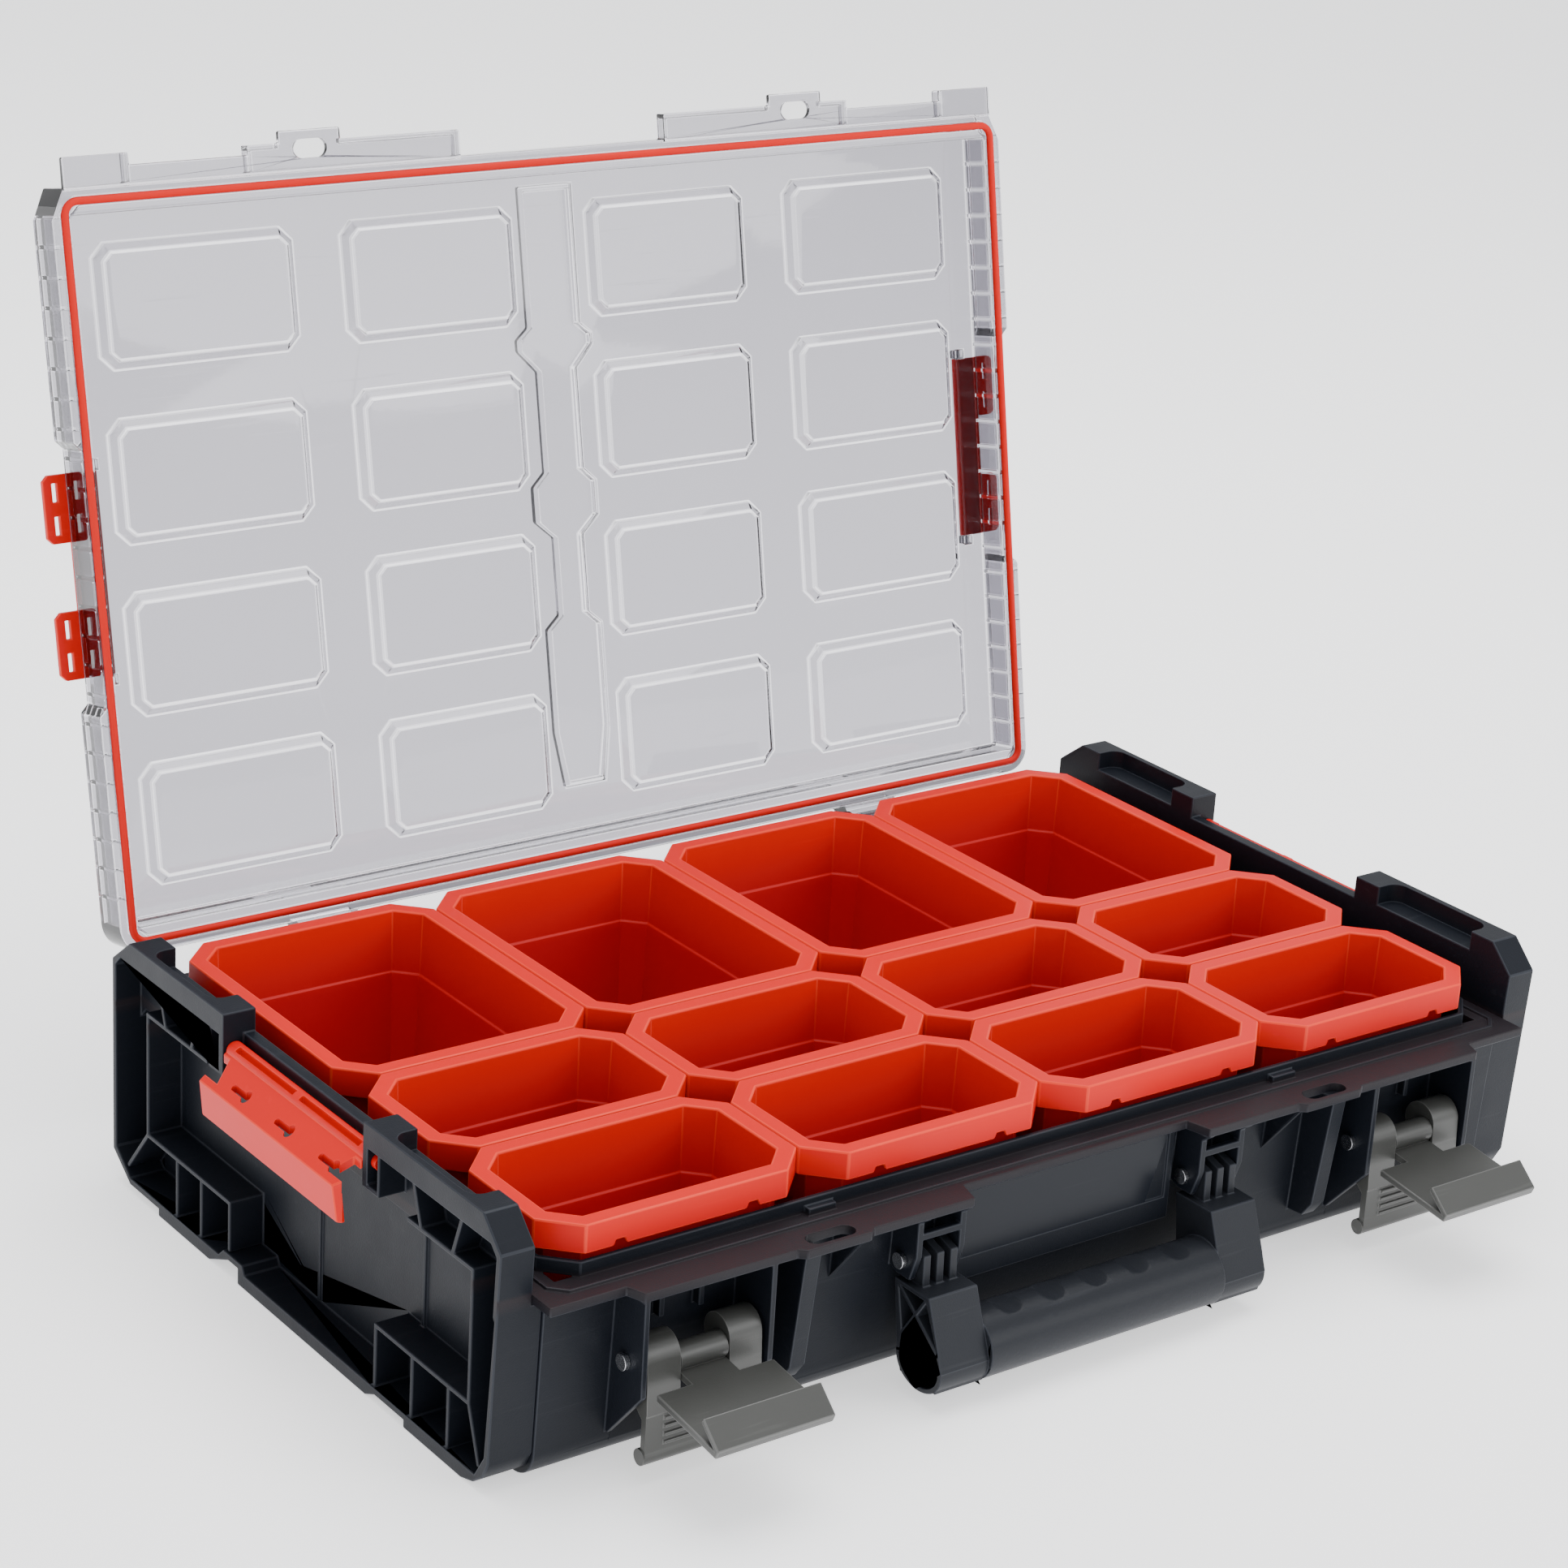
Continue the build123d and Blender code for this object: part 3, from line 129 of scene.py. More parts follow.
# Sizes and finishes that a user can change
def length(name, description, default):
    """A size in metres for a property group."""
    return FloatProperty(name=name, description=description, default=default, min=0.0, unit="LENGTH")


def colour(name, description, default):
    """A colour for a property group."""
    return FloatVectorProperty(
        name=name, description=description, default=default, size=3, min=0.0, max=1.0, subtype="COLOR",
    )


def strength(name, description, default):
    """The strength of a light for a property group."""
    return FloatProperty(name=name, description=description, default=default, min=0.0)


class CaseSizes(bpy.types.PropertyGroup):
    """Edge rounding of the moulded black parts."""

    tub_round: length("Tub edges", "Rounding of the tub's edges", 0.0006)
    end_round: length("End frame edges", "Rounding of the end frames' edges", 0.0007)
    small_round: length("Latch edges", "Rounding of levers, hook plates and side latches", 0.0006)
    clip_round: length("Clip edges", "Rounding of the lid clips", 0.00036)
    label_round: length("Plate edges", "Rounding of the bare plate", 0.0003)
    pin_round: length("Pin heads", "Doming of the steel pin heads", 0.0009)
    thin_pin_round: length("Thin pin ends", "Rounding of the thin pins' ends", 0.0003)


class BinSizes(bpy.types.PropertyGroup):
    """One bin, a thin moulded shell."""

    column_pitch: length("Column pitch", "Distance between bins along the case", 0.120)
    row_pitch: length("Row pitch", "Distance between bins across the case", 0.0738)
    gap: length("Gap", "Gap between the lips of two bins", 0.0008)
    top: length("Top", "Height of the lips above the floor", 0.102)
    corner: length("Corner", "Size of the cut corners", 0.014)
    lip: length("Lip", "Width of the flat lip", 0.0075)
    skirt: length("Skirt", "Depth of the skirt under the lip", 0.012)
    wall: length("Wall", "Thickness of the shell", 0.0016)
    step_depth: length("Step depth", "Depth of the step line below the lip", 0.028)
    step_width: length("Step width", "Width of the step line", 0.0008)
    floor: length("Floor", "Height of the inside floor", 0.0052)
    foot: length("Foot slope", "Size of the slope round the inside floor", 0.0028)
    notch_place: length("Notch place", "Distance of a skirt notch from the bin's middle", 0.030)
    notch_width: length("Notch width", "Width of a skirt notch", 0.006)
    notch_depth: length("Notch depth", "Depth of a skirt notch", 0.0024)
    edge_round: length("Edge rounding", "Rounding of the bins' edges", 0.0009)


class LidSizes(bpy.types.PropertyGroup):
    """The clear lid and its seal."""

    open_angle: FloatProperty(
        name="Opening angle", description="How far the lid stands open", default=math.radians(101.3),
        subtype="ANGLE",
    )
    hinge_y: length("Hinge distance", "Hinge line behind the case's middle", 0.1692)
    hinge_z: length("Hinge height", "Hinge line above the floor", 0.0826)
    edge_round: length("Edge rounding", "Rounding of the lid's edges", 0.0007)
    seal_x: length("Seal half length", "Half the seal's length", 0.2436)
    seal_y: length("Seal half depth", "Half the seal's depth", 0.156)
    seal_z: length("Seal height", "Height of the seal's centre on the shut lid", 0.0852)
    seal_corner: length("Seal corner", "Size of the seal's corners", 0.006)
    seal_radius: length("Seal radius", "Radius of the seal cord", 0.0017)


class Finishes(bpy.types.PropertyGroup):
    """Colours of the organizer's plastics and metals, with painted edge highlights, a painted reflection
    on the flange and painted shade in the bins.
    """

    case: colour("Case", "Black case and end frames", (0.008, 0.010, 0.015))
    # Painted highlight on the rounded edges of the case, handle and plate.
    case_edge_highlight: colour("Case edges", "Rounded edges of the black case", (0.034, 0.038, 0.048))
    # Painted warm reflection of the red bins on the level flange.
    flange: colour("Flange", "Warm tint on the level flange", (0.016, 0.013, 0.016))
    latch: colour("Latches", "Levers and hook plates", (0.055, 0.056, 0.052))
    # Painted highlight on the rounded edges of the levers and hook plates.
    latch_edge_highlight: colour("Latch edges", "Rounded edges of the latches", (0.13, 0.13, 0.125))
    handle: colour("Handle", "Carrying handle", (0.018, 0.020, 0.025))
    bins: colour("Bins", "Orange red of the lips and skirts", (0.76, 0.008, 0.004))
    # Painted shade: the darker red that stands in for the shade deep inside the bins.
    bins_shade: colour("Bin insides", "Deep red low inside the bins", (0.50, 0.008, 0.014))
    # Painted highlight on the rounded edges of the bins and clips.
    bins_edge_highlight: colour("Bin edges", "Rounded edges of the bins", (0.92, 0.060, 0.026))
    clips: colour("Clips", "Red clips and side latches", (0.72, 0.006, 0.004))
    seal: colour("Seal", "Red seal cord", (0.72, 0.010, 0.006))
    lid: colour("Lid", "Tint of the clear lid", (0.42, 0.41, 0.45))
    steel: colour("Steel", "Drawn steel pins", (0.62, 0.63, 0.66))


class StudioSettings(bpy.types.PropertyGroup):
    """Floor and lights."""

    floor: colour("Floor", "Pale studio floor", (0.98, 0.98, 0.985))
    floor_sides: IntProperty(name="Floor sides", description="Sides of the round floor", default=96, min=8)
    glow: strength("Floor glow", "Light that the floor gives off itself", 0.9)
    ambient: strength("Ambient", "Strength of the even light", 1.0)
    overhead: strength("Overhead", "Power of the overhead softbox", 60.0)
    front: strength("Front", "Power of the front softbox", 26.0)
    lens: FloatProperty(name="Lens", description="Focal length in millimetres", default=86.34, min=1.0)


# Helpers for modelling by operators
def start_clean():
    """Leave edit mode and deselect everything."""
    if bpy.context.object and bpy.context.object.mode != "OBJECT":
        bpy.ops.object.mode_set(mode="OBJECT")
    bpy.ops.object.select_all(action="DESELECT")


def make_active(piece):
    """Select one piece alone."""
    start_clean()
    piece.select_set(True)
    bpy.context.view_layer.objects.active = piece


def take_primitive(name):
    """Name the primitive that was just added and open it in edit mode."""
    piece = bpy.context.object
    piece.name = name
    piece.data.name = name
    bpy.ops.object.mode_set(mode="EDIT")
    bpy.ops.mesh.select_all(action="SELECT")
    return piece


def pick(kind, test):
    """In edit mode, select the vertices or faces whose middle and direction pass a test."""
    bpy.ops.mesh.select_mode(type=kind)
    bpy.ops.mesh.select_all(action="DESELECT")
    mesh = bpy.context.edit_object.data
    plan = bmesh.from_edit_mesh(mesh)
    if kind == "VERT":
        for vertex in plan.verts:
            vertex.select_set(test(vertex.co, vertex.normal))
    else:
        for face in plan.faces:
            face.select_set(test(face.calc_center_median(), face.normal))
    plan.select_flush_mode()
    bmesh.update_edit_mesh(mesh)


def settle(piece):
    """Close edit mode and put the piece's place into its mesh."""
    make_active(piece)
    bpy.ops.object.transform_apply(location=True, rotation=True, scale=True)


def apply_modifier(piece, kind, **values):
    """Add a modifier, set it up and apply it."""
    make_active(piece)
    modifier = piece.modifiers.new(kind.title(), kind)
    for key, value in values.items():
        setattr(modifier, key, value)
    bpy.ops.object.modifier_apply(modifier=modifier.name)


def soften(piece, radius, segments=2, angle=SHARP_ANGLE):
    """Round the sharp edges, less beside short ones, and mark the rounded faces as edge, where the
    materials paint a highlight.
    """
    make_active(piece)
    mesh = piece.data
    plan = bmesh.new()
    plan.from_mesh(mesh)
    weight = plan.edges.layers.float.new("bevel_weight_edge")
    for edge in plan.edges:
        if len(edge.link_faces) == 2 and edge.calc_face_angle(0.0) > math.radians(angle):
            beside = (other for end in edge.verts for other in end.link_edges if other is not edge)
            near = min((other.calc_length() for other in beside), default=1.0)
            edge[weight] = min(1.0, near / (ROOM_FOR_ROUNDING * radius))
    plan.to_mesh(mesh)
    plan.free()
    mesh.materials.clear()
    mesh.materials.append(None)
    mesh.materials.append(None)
    apply_modifier(
        piece, "BEVEL", limit_method="WEIGHT", width=radius, segments=segments, material=1,
        use_clamp_overlap=False,
    )
    rounded = mesh.attributes.new("edge", "FLOAT", "FACE")
    rounded.data.foreach_set("value", [float(face.material_index) for face in mesh.polygons])
    mesh.polygons.foreach_set("material_index", [0] * len(mesh.polygons))
    mesh.materials.clear()
    bpy.ops.object.shade_smooth_by_angle(angle=math.radians(angle))
    apply_modifier(piece, "WEIGHTED_NORMAL", keep_sharp=True, weight=NORMAL_WEIGHT)


def moulded_copy(node, radius, segments=2, merge=True):
    """A copy of a CAD node with rounded edges that stands for it. Merging joins its flat faces."""
    source = frame["nodes"][node]
    piece = bpy.data.objects.new(f"{node}_moulded", source.data.copy())
    bpy.context.scene.collection.objects.link(piece)
    make_active(piece)
    bpy.ops.mesh.customdata_custom_splitnormals_clear()
    bpy.ops.object.mode_set(mode="EDIT")
    bpy.ops.mesh.select_all(action="SELECT")
    bpy.ops.mesh.remove_doubles(threshold=MERGE_DISTANCE)
    if merge:
        bpy.ops.mesh.dissolve_limited(angle_limit=math.radians(FLAT_ANGLE))
    bpy.ops.object.mode_set(mode="OBJECT")
    soften(piece, radius, segments)
    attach(piece, source["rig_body"])
    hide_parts(node)
    return piece


def dress(piece, material):
    """Give a piece its material."""
    piece.data.materials.clear()
    piece.data.materials.append(material)


def dress_copies(nodes, radius, material, segments=2):
    """Stand a dressed copy with rounded edges in for each CAD node."""
    for node in nodes:
        dress(moulded_copy(node, radius, segments), material)


# Shader node groups
def add_socket(group, name, kind, way, default=None):
    """A named input or output of a node group."""
    socket = group.interface.new_socket(name=name, in_out=way, socket_type=kind)
    if default is not None:
        socket.default_value = default
    return socket


def scaled_noise(tree, coordinates, scale, detail):
    """A noise texture on the piece's own coordinates."""
    noise = tree.nodes.new("ShaderNodeTexNoise")
    noise.inputs["Detail"].default_value = detail
    if isinstance(scale, float):
        noise.inputs["Scale"].default_value = scale
    else:
        tree.links.new(scale, noise.inputs["Scale"])
    tree.links.new(coordinates, noise.inputs["Vector"])
    return noise.outputs["Fac"]


def spread_about(tree, value, middle, spread):
    """A value that wanders about a middle by a spread, driven by a noise."""
    noise_middle = 0.5
    remap = tree.nodes.new("ShaderNodeMath")
    remap.operation = "SUBTRACT"
    remap.inputs[1].default_value = noise_middle
    tree.links.new(value, remap.inputs[0])
    scale = tree.nodes.new("ShaderNodeMath")
    scale.operation = "MULTIPLY_ADD"
    tree.links.new(remap.outputs[0], scale.inputs[0])
    tree.links.new(spread, scale.inputs[1])
    tree.links.new(middle, scale.inputs[2])
    scale.use_clamp = True
    return scale.outputs[0]


def mixed(tree, factor, first, second, blend="MIX"):
    """Two colours mixed by a factor."""
    mix = tree.nodes.new("ShaderNodeMix")
    mix.data_type = "RGBA"
    mix.blend_type = blend
    for socket, value in zip((mix.inputs[0], mix.inputs[6], mix.inputs[7]), (factor, first, second)):
        if isinstance(value, (float, tuple)):
            socket.default_value = value
        else:
            tree.links.new(value, socket)
    return mix.outputs[2]


def moulded_plastic_group():
    """Colour drift, a painted highlight on the rounded edges, fine spark-eroded grain and uneven gloss."""
    name = "Moulded plastic"
    if name in bpy.data.node_groups:
        return bpy.data.node_groups[name]
    group = bpy.data.node_groups.new(name, "ShaderNodeTree")
    add_socket(group, "Color", "NodeSocketColor", "INPUT", (0.5, 0.5, 0.5, 1.0))
    add_socket(group, "Edge Highlight Color", "NodeSocketColor", "INPUT", (0.8, 0.8, 0.8, 1.0))
    add_socket(group, "Edge Highlight Amount", "NodeSocketFloat", "INPUT", 0.5)
    add_socket(group, "Drift", "NodeSocketFloat", "INPUT", 0.15)
    add_socket(group, "Grain Scale", "NodeSocketFloat", "INPUT", 1800.0)
    add_socket(group, "Grain Depth", "NodeSocketFloat", "INPUT", 0.2)
    add_socket(group, "Roughness", "NodeSocketFloat", "INPUT", 0.45)
    add_socket(group, "Unevenness", "NodeSocketFloat", "INPUT", 0.15)
    add_socket(group, "Color", "NodeSocketColor", "OUTPUT")
    add_socket(group, "Roughness", "NodeSocketFloat", "OUTPUT")
    add_socket(group, "Normal", "NodeSocketVector", "OUTPUT")
    given = group.nodes.new("NodeGroupInput")
    made = group.nodes.new("NodeGroupOutput")
    place = group.nodes.new("ShaderNodeTexCoord").outputs["Object"]
    edge = group.nodes.new("ShaderNodeAttribute")
    edge.attribute_name = "edge"
    cloud = scaled_noise(group, place, CLOUD_SCALE, detail=3.0)
    darker = group.nodes.new("ShaderNodeMath")
    darker.operation = "MULTIPLY"
    group.links.new(cloud, darker.inputs[0])
    group.links.new(given.outputs["Drift"], darker.inputs[1])
    drifted = mixed(group, darker.outputs[0], given.outputs["Color"], CLOUD_SHADE, "MULTIPLY")
    # Painted highlight: the rounded edge faces are mixed toward the lighter edge colour.
    edge_highlight = group.nodes.new("ShaderNodeMath")
    edge_highlight.operation = "MULTIPLY"
    group.links.new(edge.outputs["Fac"], edge_highlight.inputs[0])
    group.links.new(given.outputs["Edge Highlight Amount"], edge_highlight.inputs[1])
    highlighted = mixed(group, edge_highlight.outputs[0], drifted, given.outputs["Edge Highlight Color"])
    group.links.new(highlighted, made.inputs["Color"])
    blotch = scaled_noise(group, place, BLOTCH_SCALE, detail=4.0)
    rough = spread_about(group, blotch, given.outputs["Roughness"], given.outputs["Unevenness"])
    group.links.new(rough, made.inputs["Roughness"])
    grain = scaled_noise(group, place, given.outputs["Grain Scale"], detail=2.0)
    bump = group.nodes.new("ShaderNodeBump")
    bump.inputs["Distance"].default_value = GRAIN_RELIEF
    group.links.new(given.outputs["Grain Depth"], bump.inputs["Strength"])
    group.links.new(grain, bump.inputs["Height"])
    group.links.new(bump.outputs["Normal"], made.inputs["Normal"])
    return group


def scuff_group():
    """A mask of fine handling marks that run along the piece."""
    name = "Fine scuffs"
    if name in bpy.data.node_groups:
        return bpy.data.node_groups[name]
    group = bpy.data.node_groups.new(name, "ShaderNodeTree")
    add_socket(group, "Scale", "NodeSocketFloat", "INPUT", 60.0)
    add_socket(group, "Amount", "NodeSocketFloat", "INPUT", 0.3)
    add_socket(group, "Mask", "NodeSocketFloat", "OUTPUT")
    given = group.nodes.new("NodeGroupInput")
    made = group.nodes.new("NodeGroupOutput")
    place = group.nodes.new("ShaderNodeTexCoord").outputs["Object"]
    stretch = group.nodes.new("ShaderNodeMapping")
    stretch.inputs["Scale"].default_value = SCUFF_STRETCH
    stretch.inputs["Rotation"].default_value = SCUFF_TURN
    group.links.new(place, stretch.inputs["Vector"])
    streak = scaled_noise(group, stretch.outputs[0], given.outputs["Scale"], detail=6.0)
    cut = group.nodes.new("ShaderNodeMapRange")
    cut.inputs["From Min"].default_value = SCUFF_FROM
    cut.inputs["From Max"].default_value = SCUFF_TO
    group.links.new(streak, cut.inputs["Value"])
    scale = group.nodes.new("ShaderNodeMath")
    scale.operation = "MULTIPLY"
    group.links.new(cut.outputs[0], scale.inputs[0])
    group.links.new(given.outputs["Amount"], scale.inputs[1])
    group.links.new(scale.outputs[0], made.inputs["Mask"])
    return group


def new_material(name):
    """An empty material with a Principled shader."""
    material = bpy.data.materials.new(name)
    material.use_nodes = True
    tree = material.node_tree
    tree.nodes.clear()
    output = tree.nodes.new("ShaderNodeOutputMaterial")
    shader = tree.nodes.new("ShaderNodeBsdfPrincipled")
    tree.links.new(shader.outputs[0], output.inputs["Surface"])
    return material, tree, shader


def solid(values):
    """A colour property as four numbers."""
    return (values[0], values[1], values[2], 1.0)


def plastic(
    name, base, edge, highlight_amount=0.5, drift=0.2, grain=1800.0, depth=0.2, rough=0.42, uneven=0.12,
    scuffs=0.15, tint=None, gloss=0.16,
):
    """A moulded plastic, with a painted highlight on its rounded edges. A tint paints a warm reflection of
    the red bins onto the faces at the flange's height.

    Gloss is the strength of the mirror-like part of its shine.
    """
    if name in bpy.data.materials:
        return bpy.data.materials[name]
    material, tree, shader = new_material(name)
    surface = tree.nodes.new("ShaderNodeGroup")
    surface.node_tree = moulded_plastic_group()
    values = {
        "Color": solid(base), "Edge Highlight Color": solid(edge), "Edge Highlight Amount": highlight_amount, "Drift": drift,
        "Grain Scale": grain, "Grain Depth": depth, "Roughness": rough, "Unevenness": uneven,
    }
    for key, value in values.items():
        surface.inputs[key].default_value = value
    marks = tree.nodes.new("ShaderNodeGroup")
    marks.node_tree = scuff_group()
    marks.inputs["Amount"].default_value = scuffs
    painted = surface.outputs["Color"]
    # Painted reflection: the tint lays the red bins' warm reflection on the faces at the flange's height.
    if tint is not None:
        painted = paint_flange_reflection(tree, painted, tint)
    lighter = tuple(min(1.0, part * SCUFF_GAIN + SCUFF_LIFT) for part in base)
    marked = mixed(tree, marks.outputs["Mask"], painted, solid(lighter))
    tree.links.new(marked, shader.inputs["Base Color"])
    tree.links.new(surface.outputs["Roughness"], shader.inputs["Roughness"])
    tree.links.new(surface.outputs["Normal"], shader.inputs["Normal"])
    shader.inputs["Specular IOR Level"].default_value = gloss
    return material


def rising(tree, height, low, high):
    """A mask that rises from none to full between two heights."""
    ramp = tree.nodes.new("ShaderNodeMapRange")
    ramp.inputs["From Min"].default_value = low
    ramp.inputs["From Max"].default_value = high
    tree.links.new(height, ramp.inputs["Value"])
    return ramp.outputs[0]


def height_on(tree):
    """The height above the floor of a point on the piece."""
    place = tree.nodes.new("ShaderNodeTexCoord")
    split = tree.nodes.new("ShaderNodeSeparateXYZ")
    tree.links.new(place.outputs["Object"], split.inputs[0])
    return split.outputs["Z"]


def paint_flange_reflection(tree, painted, tint):
    """Paints a warm reflection of the red bins into a band at the flange's height."""
    height = height_on(tree)
    band = tree.nodes.new("ShaderNodeMath")
    band.operation = "MULTIPLY"
    tree.links.new(rising(tree, height, *FLANGE_REFLECTION_RISE), band.inputs[0])
    tree.links.new(rising(tree, height, *FLANGE_REFLECTION_FALL), band.inputs[1])
    return mixed(tree, band.outputs[0], painted, solid(tint))


def case_black(finish):
    """Black case plastic with a fine grain and a painted warm reflection on the level flange."""
    return plastic(
        "Case black", finish.case, finish.case_edge_highlight, highlight_amount=0.6, drift=0.25, grain=1500.0, depth=0.3,
        rough=0.44, uneven=0.16, scuffs=0.12, tint=finish.flange,
    )


def latch_grey(finish):
    """Satin grey of levers and hook plates."""
    return plastic(
        "Latch grey", finish.latch, finish.latch_edge_highlight, highlight_amount=0.6, grain=2200.0, depth=0.18,
        rough=0.36, uneven=0.1, scuffs=0.25, gloss=0.5,
    )


def handle_grey(finish):
    """Soft dark grey of the handle."""
    return plastic(
        "Handle grey", finish.handle, finish.case_edge_highlight, grain=1700.0, depth=0.3, rough=0.38, uneven=0.1,
    )


def bin_red(finish):
    """Semi-gloss orange red with painted shade that darkens it toward the bins' floors, and a little light
    inside the plastic.
    """
    material = plastic(
        "Bin red", finish.bins, finish.bins_edge_highlight, highlight_amount=0.7, drift=0.1, grain=1900.0, depth=0.1,
        rough=0.38, uneven=0.08, scuffs=0.08,
    )
    tree = material.node_tree
    shader = tree.nodes["Principled BSDF"]
    # Painted shade: low in the bins the colour turns to a darker red, standing in for the shade deep
    # inside them.
    if not shader.inputs["Subsurface Weight"].default_value:
        painted = shader.inputs["Base Color"].links[0].from_socket
        above_shade = rising(tree, height_on(tree), *BIN_SHADE_FADE)
        shade_painted_low = mixed(tree, above_shade, solid(finish.bins_shade), painted)
        tree.links.new(shade_painted_low, shader.inputs["Base Color"])
    shader.inputs["Subsurface Weight"].default_value = 0.10
    shader.inputs["Subsurface Radius"].default_value = (0.004, 0.001, 0.0008)
    shader.inputs["Subsurface Scale"].default_value = 1.0
    return material


def clip_red(finish):
    """Semi-gloss red of the clips and side latches."""
    return plastic(
        "Clip red", finish.clips, finish.bins_edge_highlight, drift=0.12, grain=2000.0, depth=0.1, rough=0.36,
        uneven=0.08, scuffs=0.1,
    )


def seal_red(finish):
    """Soft matt red of the seal cord."""
    return plastic(
        "Seal red", finish.seal, finish.seal, highlight_amount=0.0, drift=0.15, grain=2600.0, depth=0.25,
        rough=0.6, uneven=0.1, scuffs=0.05,
    )


def label_black(finish):
    """Glossy black of the bare plate."""
    return plastic(
        "Label black", finish.case, finish.case_edge_highlight, highlight_amount=0.6, drift=0.1, grain=900.0, depth=0.02,
        rough=0.22, uneven=0.04, scuffs=0.1,
    )


def pin_steel(finish):
    """Drawn steel with fine turned lines."""
    name = "Pin steel"
    if name in bpy.data.materials:
        return bpy.data.materials[name]
    material = plastic(
        name, finish.steel, finish.steel, highlight_amount=0.0, grain=3200.0, depth=0.15, rough=0.26,
        uneven=0.14, scuffs=0.3,
    )
    material.node_tree.nodes["Principled BSDF"].inputs["Metallic"].default_value = 1.0
    return material


def lid_clear(finish):
    """Clear moulded plastic with a faint tint and a painted highlight on its rounded edges."""
    name = "Lid clear"
    if name in bpy.data.materials:
        return bpy.data.materials[name]
    material, tree, shader = new_material(name)
    surface = tree.nodes.new("ShaderNodeGroup")
    surface.node_tree = moulded_plastic_group()
    values = {
        "Color": solid(finish.lid), "Edge Highlight Color": LID_EDGE_HIGHLIGHT, "Edge Highlight Amount": 0.9, "Drift": 0.04,
        "Grain Scale": 300.0, "Grain Depth": 0.015, "Roughness": 0.03, "Unevenness": 0.03,
    }
    for key, value in values.items():
        surface.inputs[key].default_value = value
    marks = tree.nodes.new("ShaderNodeGroup")
    marks.node_tree = scuff_group()
    marks.inputs["Amount"].default_value = 0.12
    hazed = tree.nodes.new("ShaderNodeMath")
    hazed.operation = "ADD"
    tree.links.new(surface.outputs["Roughness"], hazed.inputs[0])
    tree.links.new(marks.outputs["Mask"], hazed.inputs[1])
    tree.links.new(surface.outputs["Color"], shader.inputs["Base Color"])
    tree.links.new(hazed.outputs[0], shader.inputs["Roughness"])
    tree.links.new(surface.outputs["Normal"], shader.inputs["Normal"])
    shader.inputs["Transmission Weight"].default_value = 1.0
    shader.inputs["IOR"].default_value = LID_REFRACTION
    return material


# Pieces
def model_bin(name, size_x, size_y, sizes):
    """A bin drawn from one plane: lip, stepped walls, sloped foot and a notched skirt."""
    start_clean()
    bpy.ops.mesh.primitive_plane_add(size=1.0, location=(0.0, 0.0, sizes.top))
    piece = take_primitive(name)
    bpy.ops.transform.resize(value=(size_x, size_y, 1.0))
    bpy.ops.mesh.bevel(offset=sizes.corner, affect="VERTICES", segments=1)
    bpy.ops.mesh.select_all(action="SELECT")
    low = sizes.top - sizes.step_depth - STEP_DROP - sizes.floor - sizes.foot
    bpy.ops.mesh.inset(thickness=sizes.lip, depth=0.0)
    bpy.ops.mesh.inset(thickness=sizes.step_depth * BIN_DRAFT, depth=-sizes.step_depth)
    bpy.ops.mesh.inset(thickness=sizes.step_width, depth=-STEP_DROP)
    bpy.ops.mesh.inset(thickness=low * BIN_DRAFT, depth=-low)
    bpy.ops.mesh.inset(thickness=sizes.foot, depth=-sizes.foot)
    bpy.ops.mesh.select_mode(type="EDGE")
    bpy.ops.mesh.select_all(action="DESELECT")
    bpy.ops.mesh.select_non_manifold(
        use_wire=False, use_boundary=True, use_multi_face=False, use_non_contiguous=False, use_verts=False,
    )
    bpy.ops.mesh.extrude_region_move(TRANSFORM_OT_translate={"value": (0.0, 0.0, -sizes.skirt)})
    half = sizes.notch_width / 2
    slant = half * NOTCH_SLANT
    on_wall = size_y / 2 - ON_WALL
    for middle in (-sizes.notch_place, sizes.notch_place):
        for cut in (middle - half, middle - half + slant, middle + half - slant, middle + half):
            pick("FACE", lambda at, way: abs(way.y) > FACING_THE_WALL and abs(at.y) > on_wall)
            bpy.ops.mesh.bisect(plane_co=(cut, 0.0, 0.0), plane_no=(1.0, 0.0, 0.0))
        pick("VERT", lambda at, way: abs(at.x - middle) < half - slant / 2 and at.z < -sizes.skirt / 2
             and abs(at.y) > on_wall)
        bpy.ops.transform.translate(value=(0.0, 0.0, sizes.notch_depth))
    settle(piece)
    apply_modifier(piece, "SOLIDIFY", thickness=sizes.wall, offset=-1.0, use_even_offset=True)
    soften(piece, sizes.edge_round, segments=3, angle=BIN_SHARP_ANGLE)
    return piece


class ORGANIZER_OT_case(bpy.types.Operator):
    """Dress the tub and the two end frames"""

    bl_idname = "organizer.case"
    bl_label = "Case"

    def execute(self, context):
        sizes = context.scene.organizer_case
        material = case_black(context.scene.organizer_finish)
        dress_copies(["tub"], sizes.tub_round, material)
        dress_copies([f"end_frame_{side}" for side in SIDES], sizes.end_round, material)
        return {"FINISHED"}


